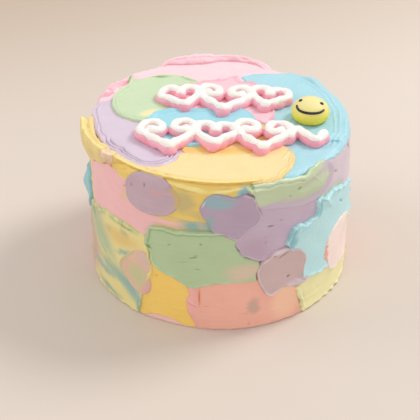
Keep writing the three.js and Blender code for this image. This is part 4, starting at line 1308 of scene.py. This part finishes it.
def fondantFinish(name, colour):
    recipe = Recipe(name)
    places = recipe.places()
    mottle = recipe.noise(places, 160.0, 3.0)
    dust = recipe.noise(places, 900.0, 4.0, 0.7)
    apart = recipe.node("ShaderNodeSeparateXYZ", {}, {0: places}, 2)
    upward = recipe.rise(apart, (dome["base"] + 2) * mm, (dome["base"] + dome["height"]) * mm)
    base = recipe.mix(recipe.rise(mottle, 0.3, 0.8) * 0.5, tint(colour), tint(colour, 0.92))
    # painted highlight: the dome grows paler towards its top
    base = recipe.mix(upward, base, tint(dome["paintedTopLight"]))
    base = recipe.mix(recipe.rise(dust, 0.5, 0.75) * 0.22, base, tint("#faf3b8"))
    height = dust * 0.05 + mottle * 0.1
    return recipe.finish(base, 0.5 + (dust - 0.5) * 0.2, height, bump=0.5, gloss=0.35, translucence=0.15)


def blackFinish(name):
    recipe = Recipe(name)
    places = recipe.places()
    grain = recipe.noise(places, 1500.0, 3.0)
    base = recipe.mix(grain, tint(dome["black"]), tint("#2c2530"))
    return recipe.finish(base, 0.35 + grain * 0.1, grain * 0.05, bump=0.4, gloss=0.45)


def buildDome():
    under, sweep = 0.36, 1.28  # share of the profile below the waist, and how far the profile turns
    foot, waist, radius, rise = dome["foot"], dome["waist"], dome["radius"], dome["height"] - dome["waist"]
    profile = [(0, 0), (foot - 0.8, 0)]
    for i in range(25):
        a = math.pi * (i / 24 - under) / sweep
        if a < 0:
            profile.append((foot + (radius - foot) * math.cos(a * 1.6),
                            waist * (1 + math.sin(a) / math.sin(math.pi * under / sweep))))
        else:
            profile.append((radius * math.cos(a), waist + rise * math.sin(a)))
    profile[-1] = (0, dome["height"])
    bm = spun([(r, 0, z) for r, z in profile], 96)
    places = placesOf(bm)
    mesh = meshFrom(bm, "fondantDome")
    places[:, :2] *= 1 + 0.006 * ripple(31, 9, *places.T)[:, None]
    setPlaces(mesh, places + (*dome["at"], dome["base"]))
    finishPiece("fondantDome", "dome", mesh, fondantFinish("fondant", dome["colour"]))


def buildSmile(material):
    start, end, ends, middle = dome["smile"]
    shares = np.linspace(0, 1, dome["smileSteps"] + 1)
    places = []
    for share in shares:
        height = middle + (ends[int(share > 0.5)] - middle) * abs(2 * share - 1) ** 4
        places.append(onDome(start + (end - start) * share, height, dome["line"] * 0.25))
    curve = tubeCurve("smileLine", dome["line"] * mm, 4)
    addLine(curve, places, 1.15 - 0.3 * (2 * shares - 1) ** 2)
    bm = bmesh.new()
    bm.from_mesh(asMesh(placed("smileLine", curve)))
    bmesh.ops.remove_doubles(bm, verts=bm.verts, dist=0.00001)
    bmesh.ops.recalc_face_normals(bm, faces=bm.faces)
    finishPiece("pipedSmile", "smile", meshFrom(bm, "pipedSmile"), material)


def buildEye(side, degrees, height, material):
    bm = bmesh.new()
    bmesh.ops.create_uvsphere(bm, u_segments=24, v_segments=14, radius=1)
    bmesh.ops.scale(bm, vec=(1.25, 0.95, 0.7), verts=bm.verts)
    outward = onDome(degrees, height, 1) - onDome(degrees, height, 0)
    turn = Vector((0, 0, 1)).rotation_difference(outward).to_matrix()
    bmesh.ops.rotate(bm, cent=(0, 0, 0), matrix=turn, verts=bm.verts)
    bmesh.ops.translate(bm, vec=onDome(degrees, height, 0.15), verts=bm.verts)
    bmesh.ops.scale(bm, vec=(mm, mm, mm), verts=bm.verts)
    finishPiece(f"eyeDot_{side}", f"eye_{side}", meshFrom(bm, f"eyeDot_{side}"), material)


buildDome()
faceBlack = blackFinish("faceBlack")
buildSmile(faceBlack)
for side, (degrees, height) in zip(("left", "right"), dome["eyes"]):
    buildEye(side, degrees, height, faceBlack)
print("dome set")


# The table, the light and the camera.

stage = {
    "floor": "#ddd1c6",
    # the far floor's colour is painted shade
    "farFloorShade": "#c5b19e",
    "world": (1.0, 0.985, 0.975),
    "worldStrength": 0.66,
    "lamps": [  # place, size, power, colour
        ("key", (0.85, 0.45, 1.15), 0.5, 10.5, (1.0, 0.985, 0.965)),
        ("left", (-1.1, 0.1, 0.8), 0.8, 4, (1.0, 0.985, 0.97)),
        ("front", (0.1, -1.5, 0.45), 1.4, 4.2, (1.0, 0.985, 0.975)),
    ],
}


def buildFloor():
    bm = bmesh.new()
    bmesh.ops.create_grid(bm, x_segments=1, y_segments=1, size=20)
    mesh = meshFrom(bm, "floor")
    recipe = Recipe("floor")
    places = recipe.places()
    mottle = recipe.noise(places, 3.0)
    base = recipe.mix(mottle, tint(stage["floor"]), tint(stage["floor"], 0.96))
    # painted shade: the floor darkens away from the cake and towards the left
    away = recipe.vector("DOT_PRODUCT", places, (-0.4, 1, 0), output=1)
    base = recipe.mix(recipe.rise(away, 0.12, 0.65), base, tint(stage["farFloorShade"]))
    grain = recipe.noise(places, 500.0)
    mesh.materials.append(recipe.finish(base, 0.85, grain * 0.1, bump=0.1, gloss=0.1))
    floor = placed("floor", mesh)


def addLamp(name, at, size, power, colour):
    lamp = bpy.data.lights.new(name, "AREA")
    lamp.shape = "DISK"
    lamp.size = size
    lamp.energy = power
    lamp.color = colour
    holder = placed(name, lamp)
    holder.location = at
    holder.rotation_euler = (Vector((0, 0, 0.05)) - Vector(at)).to_track_quat("-Z", "Y").to_euler()


buildFloor()
world = bpy.data.worlds.new("studio")
bpy.context.scene.world = world
world.use_nodes = True
background = world.node_tree.nodes["Background"]
background.inputs["Color"].default_value = (*stage["world"], 1)
background.inputs["Strength"].default_value = stage["worldStrength"]
for lamp in stage["lamps"]:
    addLamp(*lamp)
bpy.context.scene.view_settings.view_transform = "Standard"

viewPoint = {
    "target": (-5.573, 0, 29.0),
    "camera": (-5.573, -485.75, 367.15),
    "roll": 0.617,  # degrees
    "lens": 77.05,
}
eye, target = Vector(viewPoint["camera"]), Vector(viewPoint["target"])
ahead = (target - eye).normalized()
right = ahead.cross(Vector((0, 0, 1))).normalized()
up = right.cross(ahead)
roll = math.radians(viewPoint["roll"])
right, up = right * math.cos(roll) + up * math.sin(roll), up * math.cos(roll) - right * math.sin(roll)
camera = bpy.data.cameras.new("camera")
camera.lens = viewPoint["lens"]
camera.sensor_width = 36
camera.clip_start = 0.01
holder = placed("camera", camera)
pose = Matrix((right, up, -ahead)).transposed().to_4x4()
pose.translation = eye * mm
holder.matrix_world = pose
bpy.context.scene.camera = holder
print("stage lit")
